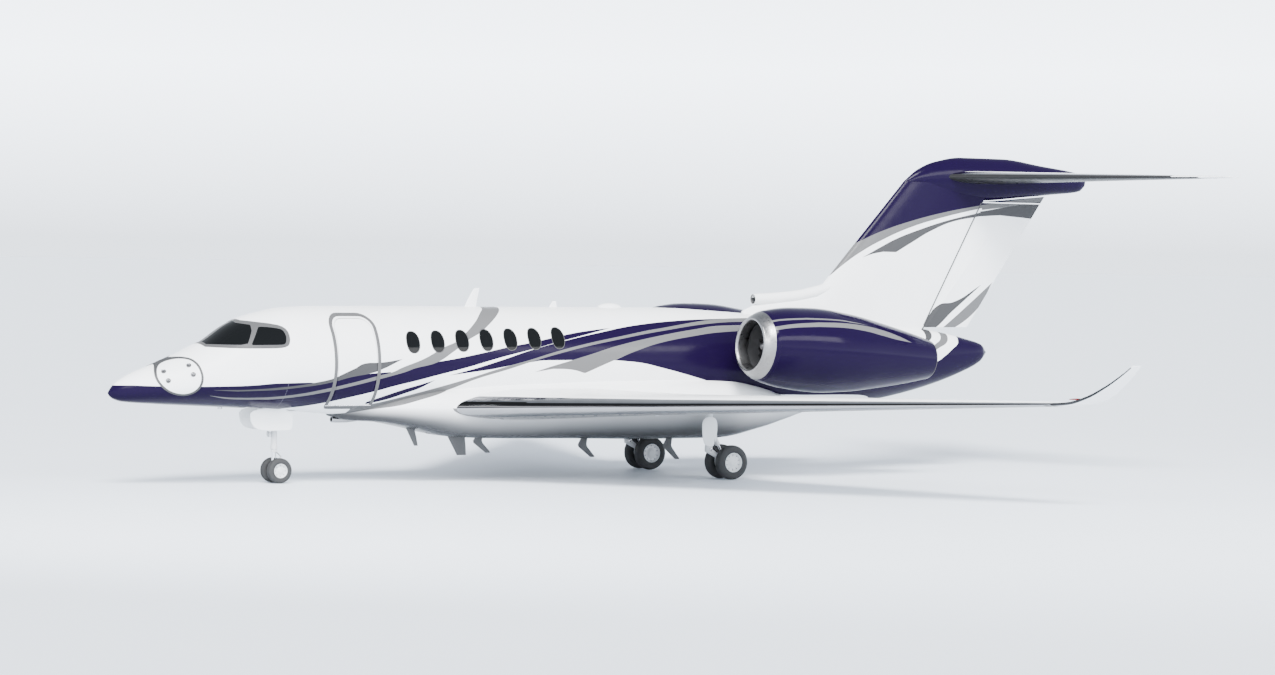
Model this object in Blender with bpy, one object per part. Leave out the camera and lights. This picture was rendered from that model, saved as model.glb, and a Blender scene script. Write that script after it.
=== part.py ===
"""Business jet with two rear engines and a T-tail, parked on its landing gear.

The airframe is laid out in stations, as aircraft are: x runs aft from the tip of the
nose, y to starboard and z up from the centreline of the cabin tube. The function
station() turns such a place into the frame of the file, which has its origin on the
ground under the middle of the aircraft.
"""

import math

import bmesh
import bpy
import numpy as np
from mathutils import Matrix, Vector

# Driving dimensions, in metres
LENGTH = 22.27
CENTRE_HEIGHT = 2.25
CABIN_RADIUS = 1.055
WALL = 0.075
RADOME_WALL = 0.03
TOUCH = 0.0003
RUNNING_GAP = 0.012
BOSS_ROOT = 0.06
HINGE_PIN = 0.012
HINGE_NOTCH = 0.020

# Where the panels of the fuselage meet
RADOME_END = 1.30
NOSE_END = 3.72
CABIN_END = 12.60
AFT_END = 17.30
TAIL_END = 19.58

RING_SIDES = 28

# Doors, windows and floors
WINDOW_FIRST_X = 5.674
WINDOW_PITCH = 0.52
WINDOW_COUNT = 7
WINDOW_FIRST_Z = 0.40
WINDOW_RISE = 0.013
WINDOW_WIDTH = 0.29
WINDOW_HEIGHT = 0.42
WINDOW_SIDES = 10
GLASS_DEPTH = 0.022
PAST_SKIN = 1.3
DOOR_FRONT = 4.11
DOOR_BACK = 4.90
DOOR_TOP = 0.86
DOOR_BOTTOM = -0.78
DOOR_GAP = 0.010
COCKPIT_FLOOR = -0.50
CABIN_FLOOR = -0.80
FLOOR_DEPTH = 0.04

# Wing
WING_ROOT_Y = 1.23
WING_GLOVE_Y = 2.0
WING_KINK_Y = 3.4
WING_BEND_Y = 9.9
WING_HINGE = 0.75
INNER_FLAP_HINGE = 0.80

# Landing gear
MAIN_TYRE_RADIUS = 0.34
MAIN_TYRE_WIDTH = 0.20
MAIN_TWIN_SPACING = 0.40
MAIN_GEAR_Y = 1.55
MAIN_LEG_X = 11.85
MAIN_AXLE_X = 12.25
NOSE_TYRE_RADIUS = 0.24
NOSE_TYRE_WIDTH = 0.15
NOSE_TWIN_SPACING = 0.30
NOSE_LEG_X = 3.30
NOSE_AXLE_TRAIL = 0.05
NOSE_LEG_FOOT = -1.62
NOSE_BAY = (2.62, 3.62)
NOSE_BAY_HALF = 0.26
LEG_TOP = -0.86
LEG_RADIUS = 0.07
LEG_SIDES = 16
RIM_INSET = 0.012
GEAR_DOOR_DEPTH = 0.022
TYRE_SIDES = 20

# Jacking pads: x, y, top and foot
JACK_PAD_RADIUS = 0.045
NOSE_JACK = (2.20, 0.0, -0.79, -0.86)
WING_JACK = (10.20, 2.30, -0.85, -0.96)

# Seats
SEAT_HALF = 0.23
SEAT_Y = 0.50
PILOT_SEAT_X = 2.80
PILOT_SEAT_Y = 0.38
SEAT_PLACES = ((6.0, -1), (7.6, 1), (8.9, -1), (10.6, 1))

# Engines
ENGINE_X = 12.47
ENGINE_Y = 1.99
ENGINE_Z = 0.38
ENGINE_TILT = math.radians(4.0)
ENGINE_SIDES = 24
LIP_END = 0.28
DUCT_RADIUS = 0.50
FAN_BLADES = 18
FAN_FRONT = 0.44
FAN_BACK = 0.62
FAN_TIP = 0.478
CORE_FRONT = 0.70

MID_X = LENGTH / 2
WINDOW_LAST_X = WINDOW_FIRST_X + (WINDOW_COUNT - 1) * WINDOW_PITCH


def station(x, y, z):
    """The file's place of a point given in the aircraft's own stations."""
    return Vector((x - MID_X, y, z + CENTRE_HEIGHT))


def curve(points):
    """A smooth function through the points that never overshoots them."""
    xs = np.array([p[0] for p in points], dtype=float)
    ys = np.array([p[1] for p in points], dtype=float)
    step = np.diff(xs)
    rise = np.diff(ys) / step
    slope = np.zeros(len(xs))
    slope[0] = rise[0]
    slope[-1] = rise[-1]
    for i in range(1, len(xs) - 1):
        if rise[i - 1] * rise[i] > 0:
            slope[i] = 2 * rise[i - 1] * rise[i] / (rise[i - 1] + rise[i])

    def at(x):
        i = int(np.clip(np.searchsorted(xs, x) - 1, 0, len(step) - 1))
        t = min(max((x - xs[i]) / step[i], 0.0), 1.0)
        a = (1 + 2 * t) * (1 - t) ** 2 * ys[i] + t * t * (3 - 2 * t) * ys[i + 1]
        b = t * (1 - t) ** 2 * slope[i] + t * t * (t - 1) * slope[i + 1]
        return float(a + step[i] * b)

    return at


def line(points):
    """A function that runs straight from point to point and on past both ends."""

    def at(x):
        i = 0
        while i < len(points) - 2 and x > points[i + 1][0]:
            i += 1
        (x0, y0), (x1, y1) = points[i], points[i + 1]
        return y0 + (x - x0) * (y1 - y0) / (x1 - x0)

    return at


# Outlines of the fuselage
TOP = curve([
    (0.0, -0.53), (0.02, -0.50), (0.1, -0.40), (0.46, -0.182), (0.87, -0.027), (1.364, 0.18),
    (1.69, 0.338), (1.78, 0.375), (2.277, 0.702), (2.522, 0.817), (2.943, 0.937),
    (3.378, 1.017), (3.807, 1.043), (5.0, CABIN_RADIUS), (11.5, CABIN_RADIUS), (13.0, 0.985),
    (14.5, 0.885), (16.5, 0.77), (17.66, 0.68), (18.5, 0.56), (19.06, 0.44), (19.45, 0.33),
    (TAIL_END, 0.19)])
BOTTOM = curve([
    (0.0, -0.57), (0.02, -0.60), (0.1, -0.66), (0.265, -0.709), (0.88, -0.756), (1.7, -0.80),
    (2.55, -0.842), (3.27, -0.888), (4.8, -1.0), (6.3, -CABIN_RADIUS), (13.0, -CABIN_RADIUS),
    (14.0, -1.03), (15.0, -0.97), (16.0, -0.88), (16.77, -0.80), (17.44, -0.68),
    (18.19, -0.50), (18.95, -0.254), (19.41, -0.046), (TAIL_END, 0.13)])
HALF_WIDTH = curve([
    (0.0, 0.02), (0.02, 0.05), (0.1, 0.13), (0.265, 0.235), (0.46, 0.33), (0.88, 0.50),
    (1.36, 0.66), (1.7, 0.755), (2.28, 0.875), (2.94, 0.97), (3.4, 1.015), (4.2, 1.045),
    (5.0, CABIN_RADIUS), (12.5, CABIN_RADIUS), (13.5, 1.01), (14.5, 0.93), (15.5, 0.82),
    (16.5, 0.68), (17.44, 0.53), (18.19, 0.40), (18.95, 0.26), (19.41, 0.15),
    (TAIL_END, 0.03)])
WAIST = curve([
    (0.0, -0.55), (0.1, -0.53), (0.9, -0.45), (1.7, -0.34), (2.5, -0.22), (3.3, -0.10),
    (4.2, -0.02), (5.0, 0.0), (13.5, 0.0), (15.0, -0.01), (16.5, 0.0), (17.5, 0.04),
    (18.5, 0.10), (19.3, 0.15), (TAIL_END, 0.16)])

MATERIALS = {}


def material(name, colour, roughness, metallic=0.0):
    if name not in MATERIALS:
        made = bpy.data.materials.new(name)
        made.use_nodes = True
        shader = made.node_tree.nodes["Principled BSDF"]
        shader.inputs["Base Color"].default_value = (*colour, 1.0)
        shader.inputs["Roughness"].default_value = roughness
        shader.inputs["Metallic"].default_value = metallic
        MATERIALS[name] = made
    return MATERIALS[name]


def white_paint():
    return material("white_paint", (0.86, 0.87, 0.88), 0.25)


def blue_paint():
    return material("blue_paint", (0.02, 0.012, 0.09), 0.2)


def bare_metal():
    return material("bare_metal", (0.62, 0.62, 0.63), 0.3, 1.0)


def gear_metal():
    return material("gear_metal", (0.7, 0.71, 0.72), 0.4)


def dark_metal():
    return material("dark_metal", (0.12, 0.12, 0.13), 0.45, 1.0)


def rubber():
    return material("rubber", (0.02, 0.02, 0.02), 0.85)


def dark_glass():
    return material("dark_glass", (0.01, 0.012, 0.015), 0.05)


def cabin_trim():
    return material("cabin_trim", (0.55, 0.52, 0.47), 0.6)


def seat_leather():
    return material("seat_leather", (0.42, 0.36, 0.28), 0.55)


def mesh_object(name, verts, faces, made_of, pivot=None):
    """An object from station points, with its origin at pivot if it turns there."""
    origin = station(*pivot) if pivot else Vector((0.0, 0.0, 0.0))
    mesh = bpy.data.meshes.new(name)
    mesh.from_pydata([station(*v) - origin for v in verts], [], faces)
    shape = bmesh.new()
    shape.from_mesh(mesh)
    bmesh.ops.remove_doubles(shape, verts=shape.verts, dist=1e-6)
    bmesh.ops.dissolve_degenerate(shape, edges=shape.edges, dist=1e-7)
    bmesh.ops.recalc_face_normals(shape, faces=shape.faces)
    shape.to_mesh(mesh)
    shape.free()
    made = bpy.data.objects.new(name, mesh)
    made.location = origin
    bpy.context.scene.collection.objects.link(made)
    if made_of:
        mesh.materials.append(made_of)
        mesh.shade_smooth()
        mesh.set_sharp_from_angle(angle=math.radians(35))
    else:
        made.hide_render = True
        made.display_type = "WIRE"
    return made


def is_flat(a, b, c, d):
    """Whether four points lie in one plane, to a hundredth of a millimetre."""
    a, b, c, d = Vector(a), Vector(b), Vector(c), Vector(d)
    normal = (b - a).cross(c - a)
    return normal.length < 1e-9 or abs((d - a).dot(normal.normalized())) < 1e-5


def rings_to_mesh(rings, closed=False, split=False):
    """Verts and faces of a skin over rings of equal length, capped unless it closes.

    With split, each patch that isn't flat is split the same way whichever end the rings
    start from, so that skins over the same stations lie parallel.
    """
    count = len(rings[0])
    verts = [p for ring in rings for p in ring]
    faces = []
    last = len(rings) if closed else len(rings) - 1
    for r in range(last):
        after = (r + 1) % len(rings)
        a, b = r * count, after * count
        if split and rings[after][0][0] < rings[r][0][0]:
            a, b = b, a
        for i in range(count):
            j = (i + 1) % count
            patch = (a + i, a + j, b + j, b + i)
            if split and not is_flat(*[verts[k] for k in patch]):
                faces += [patch[:3], (a + i, b + j, b + i)]
            else:
                faces.append(patch)
    if not closed:
        faces.append(tuple(range(count)))
        faces.append(tuple(range((len(rings) - 1) * count, len(rings) * count)))
    return verts, faces


def loft(name, rings, made_of=None, pivot=None, closed=False, split=False):
    verts, faces = rings_to_mesh(rings, closed, split)
    return mesh_object(name, verts, faces, made_of, pivot)


def combine(target, tool, operation):
    step = target.modifiers.new(operation.lower() + "_" + tool.name, "BOOLEAN")
    step.operation = operation
    step.object = tool
    return target


def cut(target, tool):
    return combine(target, tool, "DIFFERENCE")


def join(target, tool):
    return combine(target, tool, "UNION")


def keep(target, tool):
    return combine(target, tool, "INTERSECT")


def slab(name, low, high, made_of=None, pivot=None):
    """A box between two opposite corners."""
    (x0, y0, z0), (x1, y1, z1) = low, high
    rings = [[(x, y0, z0), (x, y1, z0), (x, y1, z1), (x, y0, z1)] for x in (x0, x1)]
    return loft(name, rings, made_of, pivot)


def jack_pad(name, x, y, top, foot):
    """A round pad with a flat foot, where the aircraft is lifted on a jack."""
    return rod("cutter_jack_" + name, (x, y, top), (x, y, foot), JACK_PAD_RADIUS)


def rod(name, start, end, radius, made_of=None, sides=12, pivot=None):
    """A round bar from start to end."""
    a, b = Vector(start), Vector(end)
    turn = (b - a).to_track_quat("Z", "Y")
    rings = []
    for centre in (a, b):
        ring = []
        for i in range(sides):
            angle = 2 * math.pi * (i + 0.5) / sides
            spoke = Vector((radius * math.cos(angle), radius * math.sin(angle), 0))
            ring.append(tuple(centre + turn @ spoke))
        rings.append(ring)
    return loft(name, rings, made_of, pivot)


def body_ring(x, inset=0.0):
    """One ring of the fuselage skin, moved in by inset (or out where it is negative)."""
    top, bottom = TOP(x) - inset, BOTTOM(x) + inset
    width, waist = HALF_WIDTH(x) - inset, WAIST(x)
    ring = []
    for i in range(RING_SIDES):
        angle = 2 * math.pi * (i + 0.5) / RING_SIDES
        height = top - waist if math.sin(angle) > 0 else waist - bottom
        ring.append((x, width * math.cos(angle), waist + height * math.sin(angle)))
    return ring


def shell(name, xs, wall, made_of, nose_inside=None, tail_inside=None):
    """A fuselage panel of the given wall, open at each end that has no inside point."""
    outer = [body_ring(x) for x in xs]
    inner_xs = [x for x in xs if (nose_inside is None or x > nose_inside)
                and (tail_inside is None or x < tail_inside)]
    if nose_inside is not None:
        inner_xs = [nose_inside] + inner_xs
    if tail_inside is not None:
        inner_xs = inner_xs + [tail_inside]
    inner = [body_ring(x, wall) for x in inner_xs]
    if nose_inside is not None:
        return loft(name, outer + inner[::-1], made_of, split=True)
    if tail_inside is not None:
        return loft(name, outer[::-1] + inner, made_of, split=True)
    return loft(name, outer + inner[::-1], made_of, closed=True, split=True)


NOSE_STATIONS = (1.30, 1.69, 1.95, 2.277, 2.60, 2.943, 3.378, NOSE_END)
CABIN_STATIONS = (NOSE_END, 4.2, 5.0, 6.3, 11.5, CABIN_END)
AFT_STATIONS = (CABIN_END, 13.5, 14.5, 15.5, 16.5, AFT_END)
TAIL_STATIONS = (AFT_END, 17.9, 18.5, 19.06, 19.41, 19.54, TAIL_END)
RADOME_STATIONS = (0.0, 0.02, 0.1, 0.265, 0.55, 0.9, RADOME_END)


def from_seam(xs):
    """The stations with the front end set back by the width of a seam."""
    return (xs[0] + TOUCH,) + tuple(xs[1:])


def whole_body(name, inset):
    """The fuselage as one closed form, to cut or trim other pieces with."""
    xs = sorted(set(RADOME_STATIONS + NOSE_STATIONS + CABIN_STATIONS + AFT_STATIONS + TAIL_STATIONS))
    if inset > 0:
        xs = [x for x in xs if 0.2 < x < 19.0]
    return loft(name, [body_ring(x, inset) for x in xs], split=True)


def oval_prism(centre_x, centre_z, width, height, y0, y1):
    rings = []
    for y in (y0, y1):
        ring = []
        for i in range(WINDOW_SIDES):
            angle = 2 * math.pi * (i + 0.5) / WINDOW_SIDES
            ring.append((centre_x + width / 2 * math.cos(angle), y,
                         centre_z + height / 2 * math.sin(angle)))
        rings.append(ring)
    return rings


def window_centres():
    return [(WINDOW_FIRST_X + i * WINDOW_PITCH, WINDOW_FIRST_Z + i * WINDOW_RISE)
            for i in range(WINDOW_COUNT)]


def window_prisms(name, shrink, y0, y1):
    """All the cabin windows of one side or both, as one tool of separate prisms."""
    verts, faces = [], []
    for x, z in window_centres():
        rings = oval_prism(x, z, WINDOW_WIDTH - 2 * shrink, WINDOW_HEIGHT - 2 * shrink, y0, y1)
        more_verts, more_faces = rings_to_mesh(rings)
        faces += [tuple(i + len(verts) for i in face) for face in more_faces]
        verts += more_verts
    return mesh_object(name, verts, faces, None)


def door_outline(grow, draft):
    """The rounded outline of the cabin door in x and z, grown all round."""
    corner = 0.20
    points = []
    x0, x1 = DOOR_FRONT - grow + draft, DOOR_BACK + grow - draft
    z0, z1 = DOOR_BOTTOM - grow, DOOR_TOP + grow - draft
    corners = ((x1, z1, 0, corner), (x0, z1, 90, corner), (x0, z0, 180, 0.02), (x1, z0, 270, 0.02))
    for x, z, start, radius in corners:
        cx = x - math.copysign(radius, x - (x0 + x1) / 2)
        cz = z - math.copysign(radius, z - (z0 + z1) / 2)
        for k in range(4):
            angle = math.radians(start + 30 * k)
            points.append((cx + radius * math.cos(angle), cz + radius * math.sin(angle)))
    return points


def door_prism(name, grow):
    """The block that the door is cut from, wider towards the outside so that it opens."""
    inside = [(x, -0.30, z) for x, z in door_outline(grow, 0.05)]
    outside = [(x, -1.30, z) for x, z in door_outline(grow, -0.01)]
    return loft(name, [inside, outside])


# The glazed band of the cockpit in side view: its corners in x and z
WINDSHIELD = ((1.80, 0.36), (1.80, 0.90), (2.44, 0.90), (2.44, 0.70), (3.08, 0.655),
              (3.16, 0.52), (3.09, 0.345), (2.45, 0.33))


def offset_outline(points, grow):
    """The outline with each edge moved out by grow; its points run anticlockwise or not."""
    area = sum(a[0] * b[1] - b[0] * a[1] for a, b in zip(points, points[1:] + points[:1]))
    sign = math.copysign(1.0, area)
    moved = []
    for k, point in enumerate(points):
        before, after = points[k - 1], points[(k + 1) % len(points)]
        into = (Vector(point) - Vector(before)).normalized()
        out = (Vector(after) - Vector(point)).normalized()
        normal_in = Vector((into.y, -into.x)) * sign
        normal_out = Vector((out.y, -out.x)) * sign
        corner = (normal_in + normal_out) / (1 + normal_in.dot(normal_out))
        moved.append(tuple(Vector(point) + corner * grow))
    return moved


def windshield_prism(name, grow):
    grown = offset_outline(list(WINDSHIELD), grow)
    return loft(name, [[(x, y, z) for x, z in grown] for y in (-PAST_SKIN, PAST_SKIN)])


def fuselage():
    paint = white_paint()
    shell("radome", RADOME_STATIONS, RADOME_WALL, paint, nose_inside=0.20)
    nose = shell("nose_section", from_seam(NOSE_STATIONS), WALL, paint)
    cut(nose, windshield_prism("cutter_windshield", 0.0))
    low = (NOSE_BAY[0], -NOSE_BAY_HALF, -PAST_SKIN)
    cut(nose, slab("cutter_nose_bay", low, (NOSE_BAY[1], NOSE_BAY_HALF, -0.6)))
    join(nose, jack_pad("nose", *NOSE_JACK))
    cabin = shell("cabin_shell", from_seam(CABIN_STATIONS), WALL, paint)
    cut(cabin, window_prisms("cutter_windows", 0.0, -PAST_SKIN, PAST_SKIN))
    cut(cabin, door_prism("cutter_doorway", DOOR_GAP))
    door_hinge_frame(cabin)
    for tool in crown_antennas():
        join(cabin, tool)
    shell("aft_fuselage", from_seam(AFT_STATIONS), WALL, paint)
    return shell("tail_cone", from_seam(TAIL_STATIONS), 0.05, blue_paint(), tail_inside=19.2)


def blade(name, x0, x1, tip_x0, tip_x1, root_z, tip_z, half):
    """A thin blade antenna with a sharp front and back edge."""
    rings = []
    for a, b, z, t in ((x0, x1, root_z, half), (tip_x0, tip_x1, tip_z, half * 0.6)):
        mid = a + (b - a) * 0.35
        rings.append([(a, 0, z), (mid, -t, z), (b, 0, z), (mid, t, z)])
    return loft(name, rings)


def dome(name, x0, x1, z_base, z_top, half):
    """A low smooth blister antenna on the crown."""
    mid, reach = (x0 + x1) / 2, (x1 - x0) / 2
    rings = []
    for level in (-0.4, 0.0, 0.5, 0.85, 0.98):
        scale = math.sqrt(1 - level * abs(level)) if level > 0 else 1.0
        z = z_base + (z_top - z_base) * level
        rings.append([(mid + reach * scale * math.cos(a), half * scale * math.sin(a), z)
                      for a in (2 * math.pi * i / 12 for i in range(12))])
    return loft(name, rings)


def crown_antennas():
    return [blade("cutter_crown_blade", 7.24, 7.50, 7.46, 7.57, 1.0, 1.41, 0.014),
            blade("cutter_small_blade", 9.09, 9.29, 9.20, 9.26, 1.0, 1.17, 0.010),
            dome("cutter_crown_dome", 10.20, 10.72, 1.04, 1.14, 0.14)]


# Belly fairing under the cabin: lowest line, half width, upper reach and middle height
BELLY_BOTTOM = curve([(4.45, -1.02), (4.73, -1.093), (5.28, -1.125), (6.0, -1.25), (6.92, -1.43),
                      (7.78, -1.463), (9.4, -1.488), (11.2, -1.523), (12.6, -1.523), (13.55, -1.355),
                      (14.26, -1.20), (14.9, -1.06)])
BELLY_WIDTH = curve([(4.45, 0.22), (5.0, 0.60), (5.6, 0.95), (6.4, 1.24), (7.5, 1.31), (9.0, 1.33),
                     (12.6, 1.33), (13.5, 1.15), (14.26, 0.72), (14.9, 0.28)])
BELLY_WAIST = curve([(4.45, -0.92), (6.4, -0.86), (9.0, -0.84), (12.6, -0.84), (14.9, -0.92)])
BELLY_RISE = curve([(4.45, 0.08), (5.0, 0.18), (6.4, 0.42), (8.0, 0.52), (11.4, 0.60), (12.6, 0.56),
                    (14.26, 0.25), (14.9, 0.10)])
BELLY_STATIONS = (4.45, 4.73, 5.1, 5.6, 6.0, 6.45, 6.92, 7.78, 9.4, 11.2, 12.6, 13.1, 13.55,
                  14.26, 14.9)
BELLY_SIDES = 24

# Kinked masts under the belly: name, station, and the heights of top, knee and foot
BELLY_MASTS = (("a", 7.60, -1.40, -1.55, -1.76), ("b", 9.92, -1.45, -1.66, -1.88),
               ("c", 11.86, -1.48, -1.70, -1.956), ("d", 12.93, -1.40, -1.60, -1.81))


def belly_ring(x, grow=0.0):
    """One ring of the belly fairing: round above its middle and squarer below."""
    width, waist = BELLY_WIDTH(x) + grow, BELLY_WAIST(x)
    low, rise = waist - BELLY_BOTTOM(x) + grow, BELLY_RISE(x) + grow
    power = 2 / 3.0
    ring = []
    for i in range(BELLY_SIDES):
        angle = 2 * math.pi * (i + 0.5) / BELLY_SIDES
        c, s = math.cos(angle), math.sin(angle)
        height = rise if s > 0 else low
        ring.append((x, width * math.copysign(abs(c) ** power, c),
                     waist + height * math.copysign(abs(s) ** power, s)))
    return ring


def belly_masts():
    """The blades and kinked masts that hang under the belly."""
    made = [blade("cutter_belly_blade", 5.98, 6.19, 6.22, 6.30, -1.2, -1.60, 0.012),
            blade("cutter_belly_big_blade", 6.90, 7.30, 7.14, 7.34, -1.38, -1.795, 0.016),
            slab("cutter_belly_square", (6.47, -0.11, -1.37), (6.71, 0.11, -1.28))]
    for name, x, top, knee, foot in BELLY_MASTS:
        lean = 0.10 + 0.20 * (knee - foot)
        made.append(blade("cutter_mast_upper_" + name, x - 0.02, x + 0.11, x - 0.13, x + 0.09,
                          top, knee, 0.016))
        made.append(blade("cutter_mast_lower_" + name, x - 0.14, x + 0.09, x + lean,
                          x + lean + 0.12, knee + 0.03, foot, 0.014))
    return made


def belly_fairing():
    fairing = loft("belly_fairing", [belly_ring(x) for x in BELLY_STATIONS], white_paint(), split=True)
    cut(fairing, whole_body("cutter_body_for_belly", -TOUCH))
    cut(fairing, rod("cutter_ram_inlet", (4.3, 0.0, -1.075), (5.2, 0.0, -1.10), 0.05))
    for mast in belly_masts():
        join(fairing, mast)


def thickness(u):
    """Half thickness of a wing section of unit chord and unit thickness ratio at chord u."""
    t = 0.2969 * math.sqrt(u) - 0.1260 * u - 0.3516 * u ** 2 + 0.2843 * u ** 3 - 0.1015 * u ** 4
    return max(5.0 * t, 0.02 * u)


class Plan:
    """A lifting surface: where its sections lie and where its moving part is hinged."""

    def __init__(self, front, back, level, ratio, upright=False, side=1, camber=0.0):
        self.front, self.back, self.level = front, back, level
        self.ratio, self.upright, self.side, self.camber = ratio, upright, side, camber

    def chord(self, s):
        return self.back(s) - self.front(s)

    def point(self, s, x, offset):
        """The station point at span s, at x, at offset from the middle of the section."""
        if self.upright:
            return (x, offset, s)
        u = (x - self.front(s)) / self.chord(s)
        bow = 4 * self.camber * self.chord(s) * u * (1 - u)
        return (x, self.side * s, self.level(s) + bow + offset)

    def half(self, s, x):
        u = (x - self.front(s)) / self.chord(s)
        return self.chord(s) * self.ratio(s) * thickness(min(max(u, 0.0), 1.0))

    def forward(self, s, x_end, steps=4):
        """Skin points from x_end on the upper side round the front to x_end below."""
        points = []
        for k in range(-steps, steps + 1):
            x = self.front(s) + (x_end - self.front(s)) * (1 - math.cos(math.pi / 2 * abs(k) / steps))
            points.append(self.point(s, x, math.copysign(self.half(s, x), -k)))
        return points

    def full(self, s, x_end):
        """A whole section, with as many points as one with a cove."""
        edge = self.back(s)
        mid = (x_end + edge) / 2
        near = x_end + 0.9 * (edge - x_end)
        points = self.forward(s, x_end)
        for x, sign in ((mid, -1), (near, -1), (edge, -1)):
            points.append(self.point(s, x, sign * self.half(s, x)))
        points.append(self.point(s, edge + 0.002, 0.0))
        for x, sign in ((edge, 1), (near, 1), (mid, 1)):
            points.append(self.point(s, x, sign * self.half(s, x)))
        return points

    def cove_reach(self, s, hinge_x):
        """Radius of the hollow in front of the moving part."""
        return self.half(s, hinge_x) * 1.04 + RUNNING_GAP / 2

    def cove_start(self, s, hinge_x, slant):
        """Where the skins end ahead of the hollow."""
        return hinge_x - self.cove_reach(s, hinge_x) * math.sin(math.radians(20)) / slant - 0.02

    def cove(self, s, hinge_x, slant):
        """A section that ends in a hollow round the nose of the moving part."""
        reach = self.cove_reach(s, hinge_x)
        points = self.forward(s, self.cove_start(s, hinge_x, slant))
        for k in range(7):
            angle = math.radians(160 - 140 * k / 6)
            points.append(self.arc_point(s, hinge_x, reach, angle, slant))
        return points

    def arc_point(self, s, hinge_x, radius, angle, slant):
        """A point ahead of the hinge; angle runs from straight up to straight down."""
        x, y, z = self.point(s, hinge_x, 0.0)
        dx = -radius * math.sin(angle) / slant
        dz = radius * math.cos(angle)
        if self.upright:
            return (x + dx, dz, s)
        return (x + dx, y, z + dz)

    def moving(self, s, hinge_x, slant):
        """A section of the moving part: a round nose on the hinge, then the skins."""
        radius = self.half(s, hinge_x)
        edge = self.back(s)
        points = [self.arc_point(s, hinge_x, radius, math.radians(30 * k), slant) for k in range(7)]
        for share in (0.45, 0.97):
            x = hinge_x + share * (edge - hinge_x)
            points.append(self.point(s, x, -self.half(s, x)))
        points.append(self.point(s, edge, 0.0))
        for share in (0.97, 0.45):
            x = hinge_x + share * (edge - hinge_x)
            points.append(self.point(s, x, self.half(s, x)))
        return points


class Flight:
    """One moving surface of a plan: its span, its hinge line and its end gaps."""

    def __init__(self, name, plan, s0, s1, hinge, gap0=0.015, gap1=0.015):
        self.name, self.plan, self.s0, self.s1 = name, plan, s0, s1
        self.hinge, self.gap0, self.gap1 = hinge, gap0, gap1
        a, b = Vector(self.axis_point(s0)), Vector(self.axis_point(s1))
        self.axis = (b - a).normalized()
        along = self.axis.z if plan.upright else self.axis.y
        self.slant = abs(along)

    def axis_point(self, s):
        return self.plan.point(s, self.hinge(s), 0.0)

    def coves(self):
        return [self.plan.cove(s, self.hinge(s), self.slant) for s in (self.s0, self.s1)]

    def full(self, s):
        """A whole section with its points where those of the coves lie."""
        return self.plan.full(s, self.plan.cove_start(s, self.hinge(s), self.slant))

    def build(self, made_of):
        """The moving part, with a stub pin on its hinge line at each end."""
        a, b = self.s0 + self.gap0, self.s1 - self.gap1
        pivot = self.axis_point((self.s0 + self.s1) / 2)
        rings = [self.plan.moving(s, self.hinge(s), self.slant) for s in (a, b)]
        made = loft(self.name, rings, made_of, pivot)
        pin = min(0.012, 0.5 * self.plan.half(b, self.hinge(b)))
        for k, (s, s_end) in enumerate(((a, self.s0), (b, self.s1))):
            face = Vector(self.axis_point(s))
            wall = Vector(self.axis_point(s_end))
            inside = face - (wall - face).normalized() * 0.04
            join(made, rod(f"cutter_pin_{self.name}_{k}", inside, face.lerp(wall, 0.5), pin))
        return made

    def bosses(self):
        """The fixed stubs that the pins turn against, standing on the walls at each end."""
        made = []
        pin = min(0.012, 0.5 * self.plan.half(self.s1, self.hinge(self.s1)))
        ends = ((self.s0 + self.gap0, self.s0), (self.s1 - self.gap1, self.s1))
        for k, (s, s_end) in enumerate(ends):
            face, wall = Vector(self.axis_point(s)), Vector(self.axis_point(s_end))
            away = (wall - face).normalized()
            start = face.lerp(wall, 0.5) + away * TOUCH
            made.append(rod(f"cutter_boss_{self.name}_{k}", start, wall + away * BOSS_ROOT, pin))
        return made


WING_FRONT = line([(WING_ROOT_Y, 6.38), (WING_GLOVE_Y, 7.45), (WING_BEND_Y, 13.67)])
WING_BACK = line([(WING_ROOT_Y, 12.90), (WING_KINK_Y, 12.45), (WING_BEND_Y, 14.57)])
WING_LEVEL = line([(WING_ROOT_Y, -0.83), (WING_BEND_Y, -0.42)])
WING_RATIO = line([(WING_ROOT_Y, 0.090), (WING_KINK_Y, 0.100), (WING_BEND_Y, 0.095)])

# Winglet: span, front, back and height of each section past the bend
WINGLET = ((10.16, 13.88, 14.66, -0.385, 12), (10.40, 14.13, 14.74, -0.27, 30),
           (10.62, 14.40, 14.83, -0.07, 48), (10.80, 14.62, 14.91, 0.14, 58),
           (10.92, 14.76, 14.97, 0.30, 62))
PLAIN_SHARE = 0.70


def winglet_section(y, front, back, z, cant, side):
    """A full section leaned over by the winglet's cant, like Plan.full."""
    tilt = math.radians(cant)
    plan = Plan(lambda s: front, lambda s: back, lambda s: 0.0, lambda s: 0.085)
    points = []
    for px, _, offset in plan.full(0.0, front + (back - front) * PLAIN_SHARE):
        points.append((px, side * (y - offset * math.sin(tilt)), z + offset * math.cos(tilt)))
    return points


def wing_plan(side):
    return Plan(WING_FRONT, WING_BACK, WING_LEVEL, WING_RATIO, side=side, camber=0.012)


def along_chord(plan, share):
    return lambda s: plan.front(s) + share * plan.chord(s)


def wing_flights(side):
    plan = wing_plan(side)
    hand = "right" if side > 0 else "left"
    outer = along_chord(plan, WING_HINGE)
    inner = along_chord(plan, INNER_FLAP_HINGE)
    return [Flight(f"flap_inboard_{hand}", plan, 2.05, 3.34, inner, 0.02, 0.02),
            Flight(f"flap_outboard_{hand}", plan, 3.46, 6.88, outer, 0.045, 0.055),
            Flight(f"aileron_{hand}", plan, 6.98, 9.50, outer, 0.02, 0.035)]


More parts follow.
